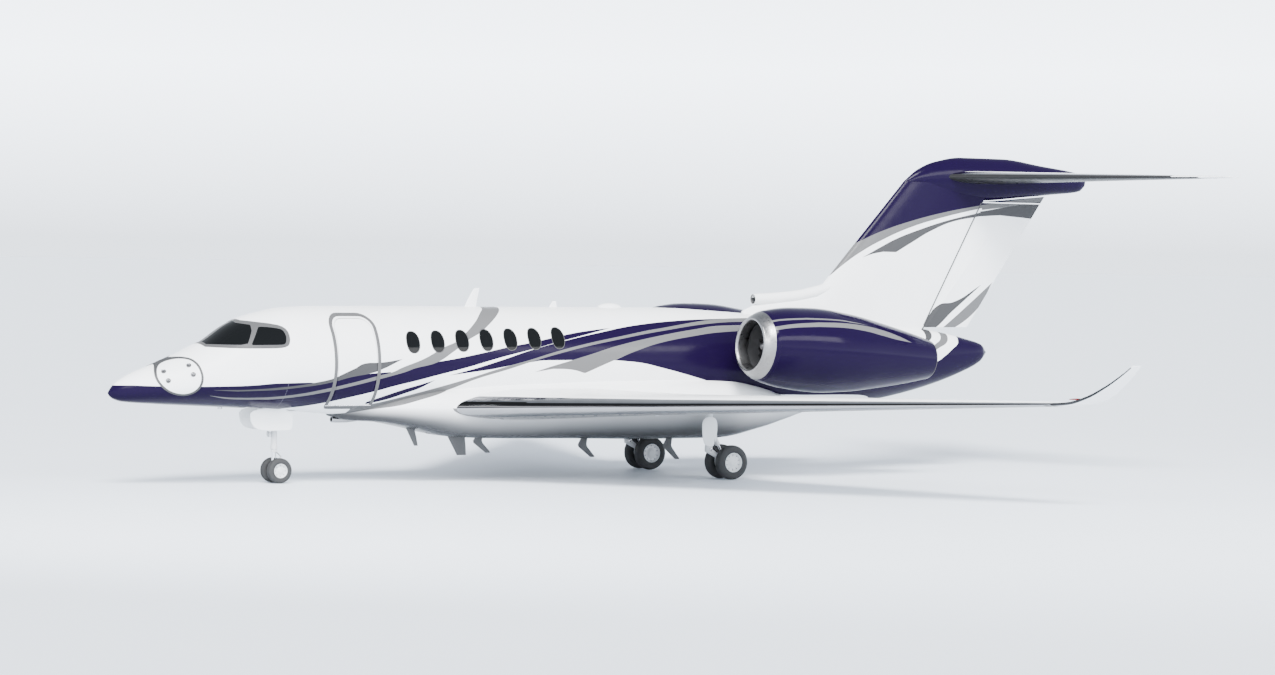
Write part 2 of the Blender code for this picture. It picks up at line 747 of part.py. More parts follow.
def wing(side, body_tool, belly_tool):
    """One wing with its winglet, its coves and the pocket for the main leg."""
    plan = wing_plan(side)
    hand = "right" if side > 0 else "left"
    flights = wing_flights(side)

    plain_end = along_chord(plan, PLAIN_SHARE)
    rings = [plan.full(s, plain_end(s)) for s in (1.15, WING_GLOVE_Y)]
    for flight in flights:
        rings += [flight.full(flight.s0), *flight.coves(), flight.full(flight.s1)]
    rings.append(plan.full(WING_BEND_Y, plain_end(WING_BEND_Y)))
    rings += [winglet_section(*row, side) for row in WINGLET]
    made = loft(f"wing_{hand}", rings, white_paint())
    cut(made, belly_tool)
    cut(made, body_tool)
    y0, y1 = sorted((side * (MAIN_GEAR_Y - 0.13), side * (MAIN_GEAR_Y + 0.13)))
    low, high = (MAIN_LEG_X - 0.22, y0, -1.5), (MAIN_LEG_X + 0.16, y1, LEG_TOP)
    cut(made, slab(f"cutter_leg_pocket_{hand}", low, high))
    x, y, top, foot = WING_JACK
    join(made, jack_pad(hand, x, side * y, top, foot))
    for flight in flights:
        for boss in flight.bosses():
            join(made, boss)
        flight.build(white_paint())


# Tail
FIN_FRONT = line([(0.4, 14.40), (1.80, 15.70), (3.70, 17.45)])
FIN_BACK = line([(0.0, 18.62), (3.46, 21.066)])
FIN_HINGE = line([(0.642, 17.962), (3.004, 19.26)])
FIN_RATIO = line([(0.4, 0.085), (3.6, 0.090)])
STAB_TIP = 4.94
STAB_FRONT = line([(0.0, 18.27), (STAB_TIP, 21.78)])
STAB_BACK = line([(0.0, 21.18), (STAB_TIP, 22.268)])
STAB_LEVEL = line([(0.0, 3.80), (STAB_TIP, 3.84)])
STAB_RATIO = line([(0.0, 0.095), (STAB_TIP, 0.085)])
STAB_HINGE = line([(0.36, 20.46), (4.50, 21.98)])

# Fairing at the top of the fin: lower line, upper line and half width
BULLET_TOP = curve([(17.45, 3.70), (17.79, 3.948), (18.2, 4.11), (18.85, 4.213), (19.9, 4.21),
                    (20.93, 4.09), (21.86, 3.965), (22.08, 3.90)])
BULLET_BOTTOM = curve([(17.45, 3.60), (18.2, 3.42), (19.39, 3.33), (20.42, 3.41), (21.2, 3.484),
                       (21.95, 3.563), (22.08, 3.66)])
BULLET_WIDTH = curve([(17.45, 0.03), (17.79, 0.12), (18.2, 0.19), (18.85, 0.25), (19.9, 0.27),
                      (20.93, 0.24), (21.86, 0.14), (22.08, 0.07)])
BULLET_STATIONS = (17.45, 17.6, 17.79, 18.2, 18.85, 19.9, 20.93, 21.5, 21.86, 22.08)

# Fairing and ram air tube at the foot of the fin
DORSAL_FOOT = ((13.55, 0.75, 0.25, 0.06), (13.9, 0.82, 0.32, 0.12), (14.7, 0.875, 0.375, 0.17),
               (15.6, 0.925, 0.425, 0.17), (16.6, 0.85, 0.35, 0.10))
DORSAL_TUBE = ((13.80, 1.235, 0.105, 0.105), (13.9, 1.235, 0.115, 0.115), (14.7, 1.285, 0.12, 0.12),
               (15.5, 1.45, 0.11, 0.11), (16.2, 1.7, 0.06, 0.06))


def oval_ring(x, middle, half_height, half_width, sides):
    """A ring across the aircraft at station x."""
    return [(x, half_width * math.cos(a), middle + half_height * math.sin(a))
            for a in (2 * math.pi * i / sides for i in range(sides))]


def bullet_ring(x, grow=0.0):
    top, bottom, width = BULLET_TOP(x) + grow, BULLET_BOTTOM(x) - grow, BULLET_WIDTH(x) + grow
    return oval_ring(x, (top + bottom) / 2, (top - bottom) / 2, width, 20)


def fin_and_rudder(body_tool, bullet_tool):
    plan = Plan(FIN_FRONT, FIN_BACK, None, FIN_RATIO, upright=True)
    rudder = Flight("rudder", plan, 0.66, 3.30, FIN_HINGE, 0.02, 0.02)
    rings = [plan.cove(s, FIN_HINGE(s), rudder.slant) for s in (0.2, 1.80, 3.70)]
    fin = loft("fin", rings, white_paint())
    join(fin, loft("cutter_dorsal_foot", [oval_ring(*row, 16) for row in DORSAL_FOOT]))
    join(fin, loft("cutter_dorsal_tube", [oval_ring(*row, 16) for row in DORSAL_TUBE]))
    cut(fin, rod("cutter_scoop", (13.7, 0, 1.235), (14.6, 0, 1.28), 0.085, sides=16))
    cut(fin, body_tool)
    cut(fin, bullet_tool)
    rudder.build(white_paint())
    return rudder.bosses()


def tail_surfaces(bullet_tool):
    for side in (1, -1):
        hand = "right" if side > 0 else "left"
        plan = Plan(STAB_FRONT, STAB_BACK, STAB_LEVEL, STAB_RATIO, side=side)
        flight = Flight(f"elevator_{hand}", plan, 0.36, 4.50, STAB_HINGE, 0.02, 0.035)
        rings = [plan.cove(0.05, STAB_HINGE(0.05), flight.slant), *flight.coves(),
                 flight.full(4.50), flight.full(4.85)]
        middle = STAB_LEVEL(STAB_TIP)
        rings.append([(x, y, middle + (z - middle) * 0.5) for x, y, z in flight.full(STAB_TIP)])
        made = loft(f"stabiliser_{hand}", rings, white_paint())
        cut(made, bullet_tool)
        join(made, flight.bosses()[1])
        flight.build(white_paint())


def lathe_ring(s, radius, sides=ENGINE_SIDES):
    """A ring of the engine round its own axis, at distance s behind the inlet."""
    return [(s, radius * math.cos(a), radius * math.sin(a))
            for a in (2 * math.pi * (i + 0.5) / sides for i in range(sides))]


def engine_place(point, side):
    """From the engine's own axis to the aircraft's stations."""
    s, y, z = point
    c, n = math.cos(ENGINE_TILT), math.sin(ENGINE_TILT)
    return (ENGINE_X + s * c + z * n, side * ENGINE_Y + y, ENGINE_Z - s * n + z * c)


def placed(rings, side):
    return [[engine_place(p, side) for p in ring] for ring in rings]


# Outer radius of the cowling behind the inlet, and the radius of the duct within it
COWL_OUTER = curve([(0.0, 0.50), (0.03, 0.545), (0.12, 0.62), (0.30, 0.70), (0.85, 0.795), (1.5, 0.825),
                    (2.2, 0.775), (3.05, 0.64), (3.7, 0.51), (4.22, 0.385)])
COWL_INNER = curve([(0.0, 0.50), (0.03, 0.475), (0.20, 0.465), (0.38, 0.50), (0.60, 0.50), (1.4, 0.50),
                    (2.6, 0.52), (3.4, 0.46), (4.22, 0.37)])
COWL_STATIONS = (LIP_END, 0.55, 0.95, 1.5, 2.2, 3.05, 3.7, 4.22)


def engine(side):
    hand = "right" if side > 0 else "left"
    outer = [0.03, 0.12, LIP_END - TOUCH]
    inner = [LIP_END - TOUCH, 0.12, 0.03]
    lip = [lathe_ring(0.0, 0.50)] + [lathe_ring(s, COWL_OUTER(s)) for s in outer]
    lip += [lathe_ring(s, COWL_INNER(s)) for s in inner]
    loft(f"inlet_lip_{hand}", placed(lip, side), bare_metal(), closed=True)
    cowl = [lathe_ring(s, COWL_OUTER(s)) for s in COWL_STATIONS]
    cowl += [lathe_ring(s, COWL_INNER(s)) for s in (4.22, 3.4, 2.6, 1.4, 0.42, LIP_END)]
    loft(f"nacelle_{hand}", placed(cowl, side), blue_paint(), closed=True)
    core(side, hand)
    fan(side, hand)


def core(side, hand):
    """The engine itself as one plain block, held in the duct by four struts."""
    rows = ((FAN_BACK + TOUCH, 0.06), (CORE_FRONT - 0.01, 0.06), (CORE_FRONT, 0.22), (1.0, 0.28),
            (2.4, 0.30), (3.3, 0.24), (3.9, 0.10), (4.1, 0.02))
    rings = placed([lathe_ring(s, r, 20) for s, r in rows], side)
    made = loft(f"engine_core_{hand}", rings, dark_metal())
    reach = DUCT_RADIUS * math.cos(math.pi / ENGINE_SIDES) - TOUCH
    half = 0.016
    for k, (y, z) in enumerate(((1, 0), (0, 1), (-1, 0), (0, -1))):
        rings = []
        for r in (0.2, reach):
            section = ((0.85, 0), (0.95, half), (1.2, 0), (0.95, -half))
            rings.append([(s, r * y + w * abs(z), r * z + w * abs(y)) for s, w in section])
        join(made, loft(f"cutter_strut_{hand}_{k}", placed(rings, side)))


def fan(side, hand):
    """Spinner and blades on the engine's axis."""
    pivot = engine_place((FAN_FRONT, 0.0, 0.0), side)
    rows = ((0.24, 0.01), (0.27, 0.05), (0.34, 0.105), (FAN_FRONT, 0.155), (FAN_BACK - 0.02, 0.17),
            (FAN_BACK, 0.16))
    rings = placed([lathe_ring(s, r, 20) for s, r in rows], side)
    made = loft(f"fan_{hand}", rings, dark_metal(), pivot)
    verts, faces = [], []
    for k in range(FAN_BLADES):
        turn = Matrix.Rotation(2 * math.pi * k / FAN_BLADES, 4, "X")
        rings = []
        for r, twist, chord in ((0.13, 20, 0.11), (0.31, 40, 0.13), (FAN_TIP, 56, 0.13)):
            t = math.radians(twist)
            ring = []
            for along, across in ((-0.5, 0.0), (0.0, 0.0035), (0.5, 0.0), (0.0, -0.0035)):
                s = (FAN_FRONT + FAN_BACK) / 2 + chord * along * math.cos(t) - across * math.sin(t)
                w = chord * along * math.sin(t) + across * math.cos(t)
                ring.append(engine_place(tuple(turn @ Vector((s, w, r))), side))
            rings.append(ring)
        more_verts, more_faces = rings_to_mesh(rings)
        faces += [tuple(i + len(verts) for i in face) for face in more_faces]
        verts += more_verts
    join(made, mesh_object(f"cutter_blades_{hand}", verts, faces, None))


def pylon(side, body_tool):
    hand = "right" if side > 0 else "left"
    plan = Plan(line([(0.0, 13.05), (2.0, 13.35)]), line([(0.0, 16.35), (2.0, 15.85)]),
                lambda s: 0.20, lambda s: 0.075, side=side)
    end = along_chord(plan, 0.6)
    made = loft(f"pylon_{hand}", [plan.full(s, end(s)) for s in (0.45, 1.75)], white_paint())
    cut(made, body_tool)
    solid = [lathe_ring(s, COWL_OUTER(s) + TOUCH) for s in (0.02,) + COWL_STATIONS]
    cut(made, loft(f"cutter_nacelle_{hand}", placed(solid, side)))


def wheel(name, x, y, radius, width, axle_z):
    """A tyre with its wheel, flat on the floor, round an axle along y."""
    half = width / 2
    hub = 0.55 * radius
    profile = ((half - RIM_INSET, hub * 0.42), (half - 0.03, hub * 0.9), (half - RIM_INSET, hub),
               (half, radius * 0.72), (half * 0.86, radius * 0.92), (half * 0.45, radius))
    rings = []
    for dy, r in [(-dy, r) for dy, r in profile] + list(profile[::-1]):
        rings.append([(x + r * math.cos(a), y + dy, axle_z + r * math.sin(a))
                      for a in (2 * math.pi * (i + 0.5) / TYRE_SIDES for i in range(TYRE_SIDES))])
    return loft(name, rings, rubber(), pivot=(x, y, axle_z))


def axle_height(radius):
    """Height of a wheel's centre in stations, with its flat bottom side on the floor."""
    return radius * math.cos(math.pi / TYRE_SIDES) - CENTRE_HEIGHT


def nose_gear():
    paint = gear_metal()
    axle_x, axle_z = NOSE_LEG_X + NOSE_AXLE_TRAIL, axle_height(NOSE_TYRE_RADIUS)
    top = COCKPIT_FLOOR - FLOOR_DEPTH - TOUCH
    foot = (NOSE_LEG_X, 0, NOSE_LEG_FOOT)
    leg = rod("nose_leg", (NOSE_LEG_X, 0, top), foot, 0.06, paint, LEG_SIDES)
    join(leg, rod("cutter_nose_brace", (NOSE_LEG_X - 0.02, 0, -1.15), (2.80, 0, -0.62), 0.03))
    join(leg, rod("cutter_nose_pivot", (NOSE_LEG_X, -0.2, -0.68), (NOSE_LEG_X, 0.2, -0.68), 0.035))
    fork = rod("nose_fork", (NOSE_LEG_X, 0, NOSE_LEG_FOOT - TOUCH), (NOSE_LEG_X, 0, axle_z + 0.10),
               0.045, paint, LEG_SIDES, pivot=foot)
    knee = (NOSE_LEG_X, 0, axle_z + 0.13)
    join(fork, rod("cutter_nose_knee", knee, (axle_x, 0, axle_z), 0.042))
    reach = NOSE_TWIN_SPACING / 2 - NOSE_TYRE_WIDTH / 2 + RIM_INSET - TOUCH
    join(fork, rod("cutter_nose_axle", (axle_x, -reach, axle_z), (axle_x, reach, axle_z), 0.03))
    for side, hand in ((1, "right"), (-1, "left")):
        wheel(f"nose_wheel_{hand}", axle_x, side * NOSE_TWIN_SPACING / 2, NOSE_TYRE_RADIUS,
              NOSE_TYRE_WIDTH, axle_z)
        outer = side * (NOSE_BAY_HALF - TOUCH)
        y0, y1 = sorted((outer, outer - side * GEAR_DOOR_DEPTH))
        slab(f"nose_gear_door_{hand}", (2.70, y0, -1.26), (3.56, y1, -0.84), white_paint())


def main_gear(side):
    hand = "right" if side > 0 else "left"
    paint = gear_metal()
    y = side * MAIN_GEAR_Y
    axle_z = axle_height(MAIN_TYRE_RADIUS)
    axle = (MAIN_AXLE_X, y, axle_z)
    leg = rod(f"main_leg_{hand}", (MAIN_LEG_X, y, LEG_TOP - TOUCH), (MAIN_LEG_X, y, -1.72),
              LEG_RADIUS, paint, LEG_SIDES)
    join(leg, rod(f"cutter_arm_{hand}", (MAIN_LEG_X - 0.03, y, -1.66), axle, 0.06))
    shock_foot = (MAIN_AXLE_X - 0.12, y, axle_z + 0.04)
    join(leg, rod(f"cutter_shock_{hand}", (MAIN_LEG_X, y, -1.16), shock_foot, 0.04))
    reach = MAIN_TWIN_SPACING / 2 - MAIN_TYRE_WIDTH / 2 + RIM_INSET - TOUCH
    ends = [(MAIN_AXLE_X, y + end, axle_z) for end in (-reach, reach)]
    join(leg, rod(f"cutter_axle_{hand}", *ends, 0.045, sides=LEG_SIDES))
    for place, offset in (("inner", -0.5), ("outer", 0.5)):
        wheel(f"main_wheel_{hand}_{place}", MAIN_AXLE_X, y + side * offset * MAIN_TWIN_SPACING,
              MAIN_TYRE_RADIUS, MAIN_TYRE_WIDTH, axle_z)
    inner = side * (MAIN_GEAR_Y + LEG_RADIUS * math.cos(math.pi / LEG_SIDES) + TOUCH)
    y0, y1 = sorted((inner, inner + side * GEAR_DOOR_DEPTH))
    low, high = (MAIN_LEG_X - 0.20, y0, -1.60), (MAIN_LEG_X + 0.14, y1, -1.03)
    slab(f"main_gear_door_{hand}", low, high, white_paint())


def cabin_door():
    """The airstair door: a piece of the cabin wall with its steps on the inside."""
    xs = (DOOR_FRONT - 0.2, 4.2, 5.0, DOOR_BACK + 0.3)
    outer = [body_ring(x) for x in xs]
    inner = [body_ring(x, WALL) for x in xs]
    pivot = door_hinge((DOOR_FRONT + DOOR_BACK) / 2)
    door = loft("cabin_door", outer + inner[::-1], white_paint(), pivot, closed=True, split=True)
    keep(door, door_prism("cutter_door", 0.0))
    door_hinge_leaf(door)
    for k in range(4):
        z = -0.50 + 0.32 * k
        low = (DOOR_FRONT + 0.14, -math.sqrt((CABIN_RADIUS - WALL / 2) ** 2 - z * z), z)
        high = (DOOR_BACK - 0.14, low[1] + 0.24, z + 0.03)
        join(door, slab(f"cutter_step_{k}", low, high))


def skin_y(x, z):
    """How far the fuselage skin lies from the middle at station x and height z."""
    reach = WAIST(x) - BOTTOM(x) if z < WAIST(x) else TOP(x) - WAIST(x)
    return HALF_WIDTH(x) * math.sqrt(1 - ((z - WAIST(x)) / reach) ** 2)


def door_hinge(x):
    """The point at station x on the door's hinge line, which lies in the skin below the door."""
    z = DOOR_BOTTOM - DOOR_GAP / 2
    front, back = skin_y(DOOR_FRONT, z), skin_y(DOOR_BACK, z)
    share = (x - DOOR_FRONT) / (DOOR_BACK - DOOR_FRONT)
    return (x, -(front + share * (back - front)), z)


def hinge_rod(name, x0, x1, radius):
    return rod(name, door_hinge(x0), door_hinge(x1), radius, sides=8)


def door_hinge_frame(cabin):
    """The hollow for the door's hinge in the sill, and the pins at its two ends."""
    cut(cabin, hinge_rod("cutter_sill_notch", DOOR_FRONT + 0.10, DOOR_BACK - 0.10, HINGE_NOTCH))
    join(cabin, hinge_rod("cutter_sill_pin_front", DOOR_FRONT - 0.06, DOOR_FRONT + 0.14, HINGE_PIN))
    join(cabin, hinge_rod("cutter_sill_pin_back", DOOR_BACK - 0.14, DOOR_BACK + 0.06, HINGE_PIN))


def door_hinge_leaf(door):
    """The matching hollows and the hinge barrel on the door's lower edge."""
    cut(door, hinge_rod("cutter_leaf_notch_front", DOOR_FRONT - 0.1, DOOR_FRONT + 0.18, HINGE_NOTCH))
    cut(door, hinge_rod("cutter_leaf_notch_back", DOOR_BACK - 0.18, DOOR_BACK + 0.1, HINGE_NOTCH))
    start, end = DOOR_FRONT + 0.14 + TOUCH, DOOR_BACK - 0.14 - TOUCH
    join(door, hinge_rod("cutter_leaf_barrel", start, end, HINGE_PIN))


def glazing():
    """The cockpit glass, set in its opening, and a strip of cabin windows on each side."""
    xs = (1.69, 1.95, 2.277, 2.60, 2.943, 3.378, 3.5)
    depth = 0.004
    outer = [body_ring(x, depth) for x in xs]
    inner = [body_ring(x, depth + GLASS_DEPTH) for x in xs]
    glass = loft("windshield", outer + inner[::-1], dark_glass(), closed=True, split=True)
    keep(glass, windshield_prism("cutter_glass", -TOUCH))
    for side, hand in ((1, "right"), (-1, "left")):
        strip = wall_layer(f"cabin_windows_{hand}", WALL + TOUCH, WALL + 0.02, dark_glass())
        y0, y1 = sorted((side * 0.5, side * PAST_SKIN))
        low_x, high_x = WINDOW_FIRST_X - 0.35, WINDOW_LAST_X + 0.35
        keep(strip, slab(f"cutter_strip_{hand}", (low_x, y0, 0.12), (high_x, y1, 0.78)))
        y0, y1 = sorted((side * 0.75, side * PAST_SKIN))
        plugs = window_prisms(f"cutter_plugs_{hand}", TOUCH, y0, y1)
        keep(plugs, wall_layer(f"cutter_window_skin_{hand}", 0.003, WALL + 0.01))
        join(strip, plugs)


def wall_layer(name, outer_inset, inner_inset, made_of=None):
    """A layer of the cabin wall along the windows, between two depths below the skin."""
    xs = (WINDOW_FIRST_X - 0.5, WINDOW_LAST_X + 0.5)
    outer = [body_ring(x, outer_inset) for x in xs]
    inner = [body_ring(x, inner_inset) for x in xs]
    return loft(name, outer + inner[::-1], made_of, closed=True, split=True)


def interior(inside):
    """Floor, bulkheads, instrument panel and seats inside the walls."""
    trim = cabin_trim()
    deck = [(1.95, COCKPIT_FLOOR), (3.80, COCKPIT_FLOOR), (3.80, CABIN_FLOOR), (12.30, CABIN_FLOOR)]
    under = [(12.30, CABIN_FLOOR - FLOOR_DEPTH), (3.76, CABIN_FLOOR - FLOOR_DEPTH),
             (3.76, COCKPIT_FLOOR - FLOOR_DEPTH), (1.95, COCKPIT_FLOOR - FLOOR_DEPTH)]
    floor = loft("cabin_floor", [[(x, y, z) for x, z in deck + under] for y in (-1.2, 1.2)], trim)
    keep(floor, inside)
    side_view = ((1.95, COCKPIT_FLOOR + TOUCH), (2.02, COCKPIT_FLOOR + TOUCH), (2.05, -0.12),
                 (2.22, 0.18), (1.98, 0.22), (1.95, 0.10))
    rings = [[(x, y, z) for x, z in side_view] for y in (-1.1, 1.1)]
    panel = loft("instrument_panel", rings, dark_metal())
    keep(panel, inside)
    front = slab("cockpit_bulkhead", (3.40, -1.2, COCKPIT_FLOOR + TOUCH), (3.45, 1.2, 1.2), trim)
    keep(front, inside)
    cut(front, slab("cutter_cockpit_door", (3.3, -0.30, COCKPIT_FLOOR - 0.1), (3.5, 0.30, 0.85)))
    back = slab("aft_bulkhead", (12.30 + TOUCH, -1.2, -1.2), (12.36, 1.2, 1.2), trim)
    keep(back, inside)
    pilot_seats()
    for side, hand in ((1, "right"), (-1, "left")):
        cabin_seats(side, hand)


def seat_outline(x, z, facing):
    """Side view of a seat's cushion and back, facing the nose at +1."""
    shape = ((-0.28, 0.30), (-0.28, 0.44), (0.16, 0.42), (0.28, 1.02), (0.40, 1.02), (0.30, 0.34),
             (0.20, 0.28))
    return [(x + facing * dx, z + dz) for dx, dz in shape]


def seat(name, x, y, base, facing, made_of=None):
    """A seat on its pedestal, as one piece."""
    outline = seat_outline(x, base, facing)
    rings = [[(px, py, pz) for px, pz in outline] for py in (y - SEAT_HALF, y + SEAT_HALF)]
    upper = loft(name, rings, made_of)
    y0, y1 = sorted((y * 0.76, y))
    return join(upper, slab("cutter_foot_" + name, (x - 0.16, y0, base), (x + 0.16, y1, base + 0.35)))


def pilot_seats():
    for side, hand in ((1, "right"), (-1, "left")):
        seat(f"pilot_seat_{hand}", PILOT_SEAT_X, side * PILOT_SEAT_Y, COCKPIT_FLOOR + TOUCH, 1,
             seat_leather())


def cabin_seats(side, hand):
    """One row of four cabin seats in two facing pairs, joined by the rail on the floor."""
    base = CABIN_FLOOR + TOUCH
    y0, y1 = sorted((side * 0.40, side * 0.46))
    row = slab(f"cabin_seats_{hand}", (5.6, y0, base), (11.2, y1, base + 0.03), seat_leather())
    for k, (x, facing) in enumerate(SEAT_PLACES):
        join(row, seat(f"cutter_seat_{hand}_{k}", x, side * SEAT_Y, base, facing))


def main():
    for old in list(bpy.data.objects):
        bpy.data.objects.remove(old)
    body_tool = whole_body("cutter_body", -TOUCH)
    inside = whole_body("cutter_inside", WALL + TOUCH)
    belly_tool = loft("cutter_belly", [belly_ring(x, TOUCH) for x in BELLY_STATIONS], split=True)
    bullet_tool = loft("cutter_bullet", [bullet_ring(x, TOUCH) for x in BULLET_STATIONS], split=True)
    tail_cone = fuselage()
    belly_fairing()
    cabin_door()
    glazing()
    interior(inside)
    bullet = loft("tail_bullet", [bullet_ring(x) for x in BULLET_STATIONS], blue_paint(), split=True)
    lower_boss, upper_boss = fin_and_rudder(body_tool, bullet_tool)
    join(tail_cone, lower_boss)
    join(bullet, upper_boss)
    tail_surfaces(bullet_tool)
    nose_gear()
    for side in (1, -1):
        wing(side, body_tool, belly_tool)
        engine(side)
        pylon(side, body_tool)
        main_gear(side)


main()
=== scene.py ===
# %% [markdown]
# # Dressing a business jet
# A long-range business jet stands on its gear. The solid model gives every piece its place and its
# joints. This script lays smooth skins, paint, glass and gear detail over that model.
# Everything is in metres. Aircraft are laid out in stations: x runs aft from the nose, y to the
# right wing and z up from the middle of the cabin, so the profiles below use stations too.

import math
from bisect import bisect_right

import bmesh
import bpy
from mathutils import Matrix, Vector


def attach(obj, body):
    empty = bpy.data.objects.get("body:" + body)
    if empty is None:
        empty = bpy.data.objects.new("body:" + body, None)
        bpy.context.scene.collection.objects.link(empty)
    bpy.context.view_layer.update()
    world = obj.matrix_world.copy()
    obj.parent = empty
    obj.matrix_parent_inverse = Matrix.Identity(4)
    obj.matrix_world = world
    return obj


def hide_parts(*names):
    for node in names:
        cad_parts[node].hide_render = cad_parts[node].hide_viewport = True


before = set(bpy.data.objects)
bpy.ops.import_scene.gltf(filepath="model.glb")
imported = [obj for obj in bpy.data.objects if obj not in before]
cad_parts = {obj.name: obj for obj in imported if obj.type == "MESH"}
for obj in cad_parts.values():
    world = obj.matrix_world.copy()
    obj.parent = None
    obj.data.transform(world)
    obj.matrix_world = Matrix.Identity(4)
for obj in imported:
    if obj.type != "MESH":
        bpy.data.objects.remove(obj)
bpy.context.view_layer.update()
MID_X, CENTRE_HEIGHT = 11.135, 2.25
HANDS = ((1, "right"), (-1, "left"))

# %% [markdown]
# ## Camera
# The picture was taken from far ahead of the left wing, a little above the cabin, with a long lens.
# A long lens keeps the wing and the tail in nearly parallel view. The camera's axes are built from
# its heading, its dip and its small roll, because that keeps each of the three easy to change.

# %% Camera
IMAGE = (1275, 675)
FOCAL_PIXELS = 3500.0
CAMERA_SPOT = (-35.165, -59.34, 4.53)
HEADING, DIP, ROLL = (math.radians(angle) for angle in (30.64, -1.51, 0.93))


def link(name, data):
    """An object made of the data, linked to the scene."""
    made = bpy.data.objects.new(name, data)
    bpy.context.scene.collection.objects.link(made)
    return made


def camera_axes(heading, dip, roll):
    """Right, up and backward axes of a camera that looks along heading."""
    ahead = Vector((math.cos(dip) * math.sin(heading), math.cos(dip) * math.cos(heading), math.sin(dip)))
    level = Vector((math.cos(heading), -math.sin(heading), 0.0))
    above = level.cross(ahead)
    right = math.cos(roll) * level + math.sin(roll) * above
    up = math.cos(roll) * above - math.sin(roll) * level
    return Matrix((right, up, -ahead)).transposed()


eye = bpy.data.cameras.new("eye")
eye.sensor_width = 36.0
eye.lens = FOCAL_PIXELS * eye.sensor_width / IMAGE[0]
eye.clip_end = 1500.0
camera = link("camera", eye)
camera.matrix_world = Matrix.Translation(CAMERA_SPOT) @ camera_axes(HEADING, DIP, ROLL).to_4x4()
bpy.context.scene.camera = camera
print("lens", round(eye.lens, 2), "mm")

# %% [markdown]
# ## Profiles
# A fuselage is drawn from four lines: its top, its bottom, its half width and the height of its
# widest point. Hand-placed rings would be slow to fair, so each line is a smooth function through a
# few measured points. The function below never swings past its points, which keeps skins free of waves.

# %% Smooth and straight lines
def curve(points):
    """A smooth function through the points that never overshoots them."""
    xs, ys = [p[0] for p in points], [p[1] for p in points]
    rise = [(ys[i + 1] - ys[i]) / (xs[i + 1] - xs[i]) for i in range(len(xs) - 1)]
    inner = [2 * a * b / (a + b) if a * b > 0 else 0.0 for a, b in zip(rise, rise[1:])]
    slope = [rise[0]] + inner + [rise[-1]]

    def at(x):
        i = min(max(bisect_right(xs, x) - 1, 0), len(rise) - 1)
        step = xs[i + 1] - xs[i]
        t = min(max((x - xs[i]) / step, 0.0), 1.0)
        level = (1 + 2 * t) * (1 - t) ** 2 * ys[i] + t * t * (3 - 2 * t) * ys[i + 1]
        return level + step * (t * (1 - t) ** 2 * slope[i] + t * t * (t - 1) * slope[i + 1])

    return at


def line(points):
    """A function that runs straight from point to point and on past both ends."""

    def at(x):
        i = 0
        while i < len(points) - 2 and x > points[i + 1][0]:
            i += 1
        (x0, y0), (x1, y1) = points[i], points[i + 1]
        return y0 + (x - x0) * (y1 - y0) / (x1 - x0)

    return at


# %% Lines of the fuselage
RADIUS = 1.055
TAIL_END = 19.58
TOP = curve([
    (0.0, -0.53), (0.02, -0.50), (0.1, -0.40), (0.46, -0.182), (0.87, -0.027), (1.364, 0.18),
    (1.69, 0.338), (1.78, 0.375), (2.277, 0.702), (2.522, 0.817), (2.943, 0.937),
    (3.378, 1.017), (3.807, 1.043), (5.0, RADIUS), (11.5, RADIUS), (13.0, 0.985),
    (14.5, 0.885), (16.5, 0.77), (17.66, 0.68), (18.5, 0.56), (19.06, 0.44), (19.45, 0.33),
    (TAIL_END, 0.19)])
BOTTOM = curve([
    (0.0, -0.57), (0.02, -0.60), (0.1, -0.66), (0.265, -0.709), (0.88, -0.756), (1.7, -0.80),
    (2.55, -0.842), (3.27, -0.888), (4.8, -1.0), (6.3, -RADIUS), (13.0, -RADIUS),
    (14.0, -1.03), (15.0, -0.97), (16.0, -0.88), (16.77, -0.80), (17.44, -0.68),
    (18.19, -0.50), (18.95, -0.254), (19.41, -0.046), (TAIL_END, 0.13)])
HALF_WIDTH = curve([
    (0.0, 0.02), (0.02, 0.05), (0.1, 0.13), (0.265, 0.235), (0.46, 0.33), (0.88, 0.50),
    (1.36, 0.66), (1.7, 0.755), (2.28, 0.875), (2.94, 0.97), (3.4, 1.015), (4.2, 1.045),
    (5.0, RADIUS), (12.5, RADIUS), (13.5, 1.01), (14.5, 0.93), (15.5, 0.82),
    (16.5, 0.68), (17.44, 0.53), (18.19, 0.40), (18.95, 0.26), (19.41, 0.15),
    (TAIL_END, 0.03)])
WAIST = curve([
    (0.0, -0.55), (0.1, -0.53), (0.9, -0.45), (1.7, -0.34), (2.5, -0.22), (3.3, -0.10),
    (4.2, -0.02), (5.0, 0.0), (13.5, 0.0), (15.0, -0.01), (16.5, 0.0), (17.5, 0.04),
    (18.5, 0.10), (19.3, 0.15), (TAIL_END, 0.16)])


def reach(x, z):
    """Height of the skin above or below its widest point, on the side of z."""
    return TOP(x) - WAIST(x) if z > WAIST(x) else WAIST(x) - BOTTOM(x)


def skin_y(x, z):
    """How far the skin lies from the middle at station x and height z."""
    return HALF_WIDTH(x) * math.sqrt(max(1 - ((z - WAIST(x)) / reach(x, z)) ** 2, 0.0))


print("cabin half width", HALF_WIDTH(8.0), "crown", TOP(8.0))

# %% [markdown]
# ## Making pieces
# Nearly every skin of an aircraft is a row of rings with faces between them, called a loft. One helper
# makes the faces, one turns them into a piece that rides on a body, and one sets the normals of a
# skin from its true surface. Gloss paint shows every facet, so those normals matter more than face count.

# %% Lofts and pieces
def place(p):
    """A station point in the frame of the model."""
    return Vector((p[0] - MID_X, p[1], p[2] + CENTRE_HEIGHT))


def turn(sides, offset=0.5):
    """Cosine and sine at even steps round a circle."""
    return [(math.cos(a), math.sin(a)) for a in (2 * math.pi * (i + offset) / sides for i in range(sides))]


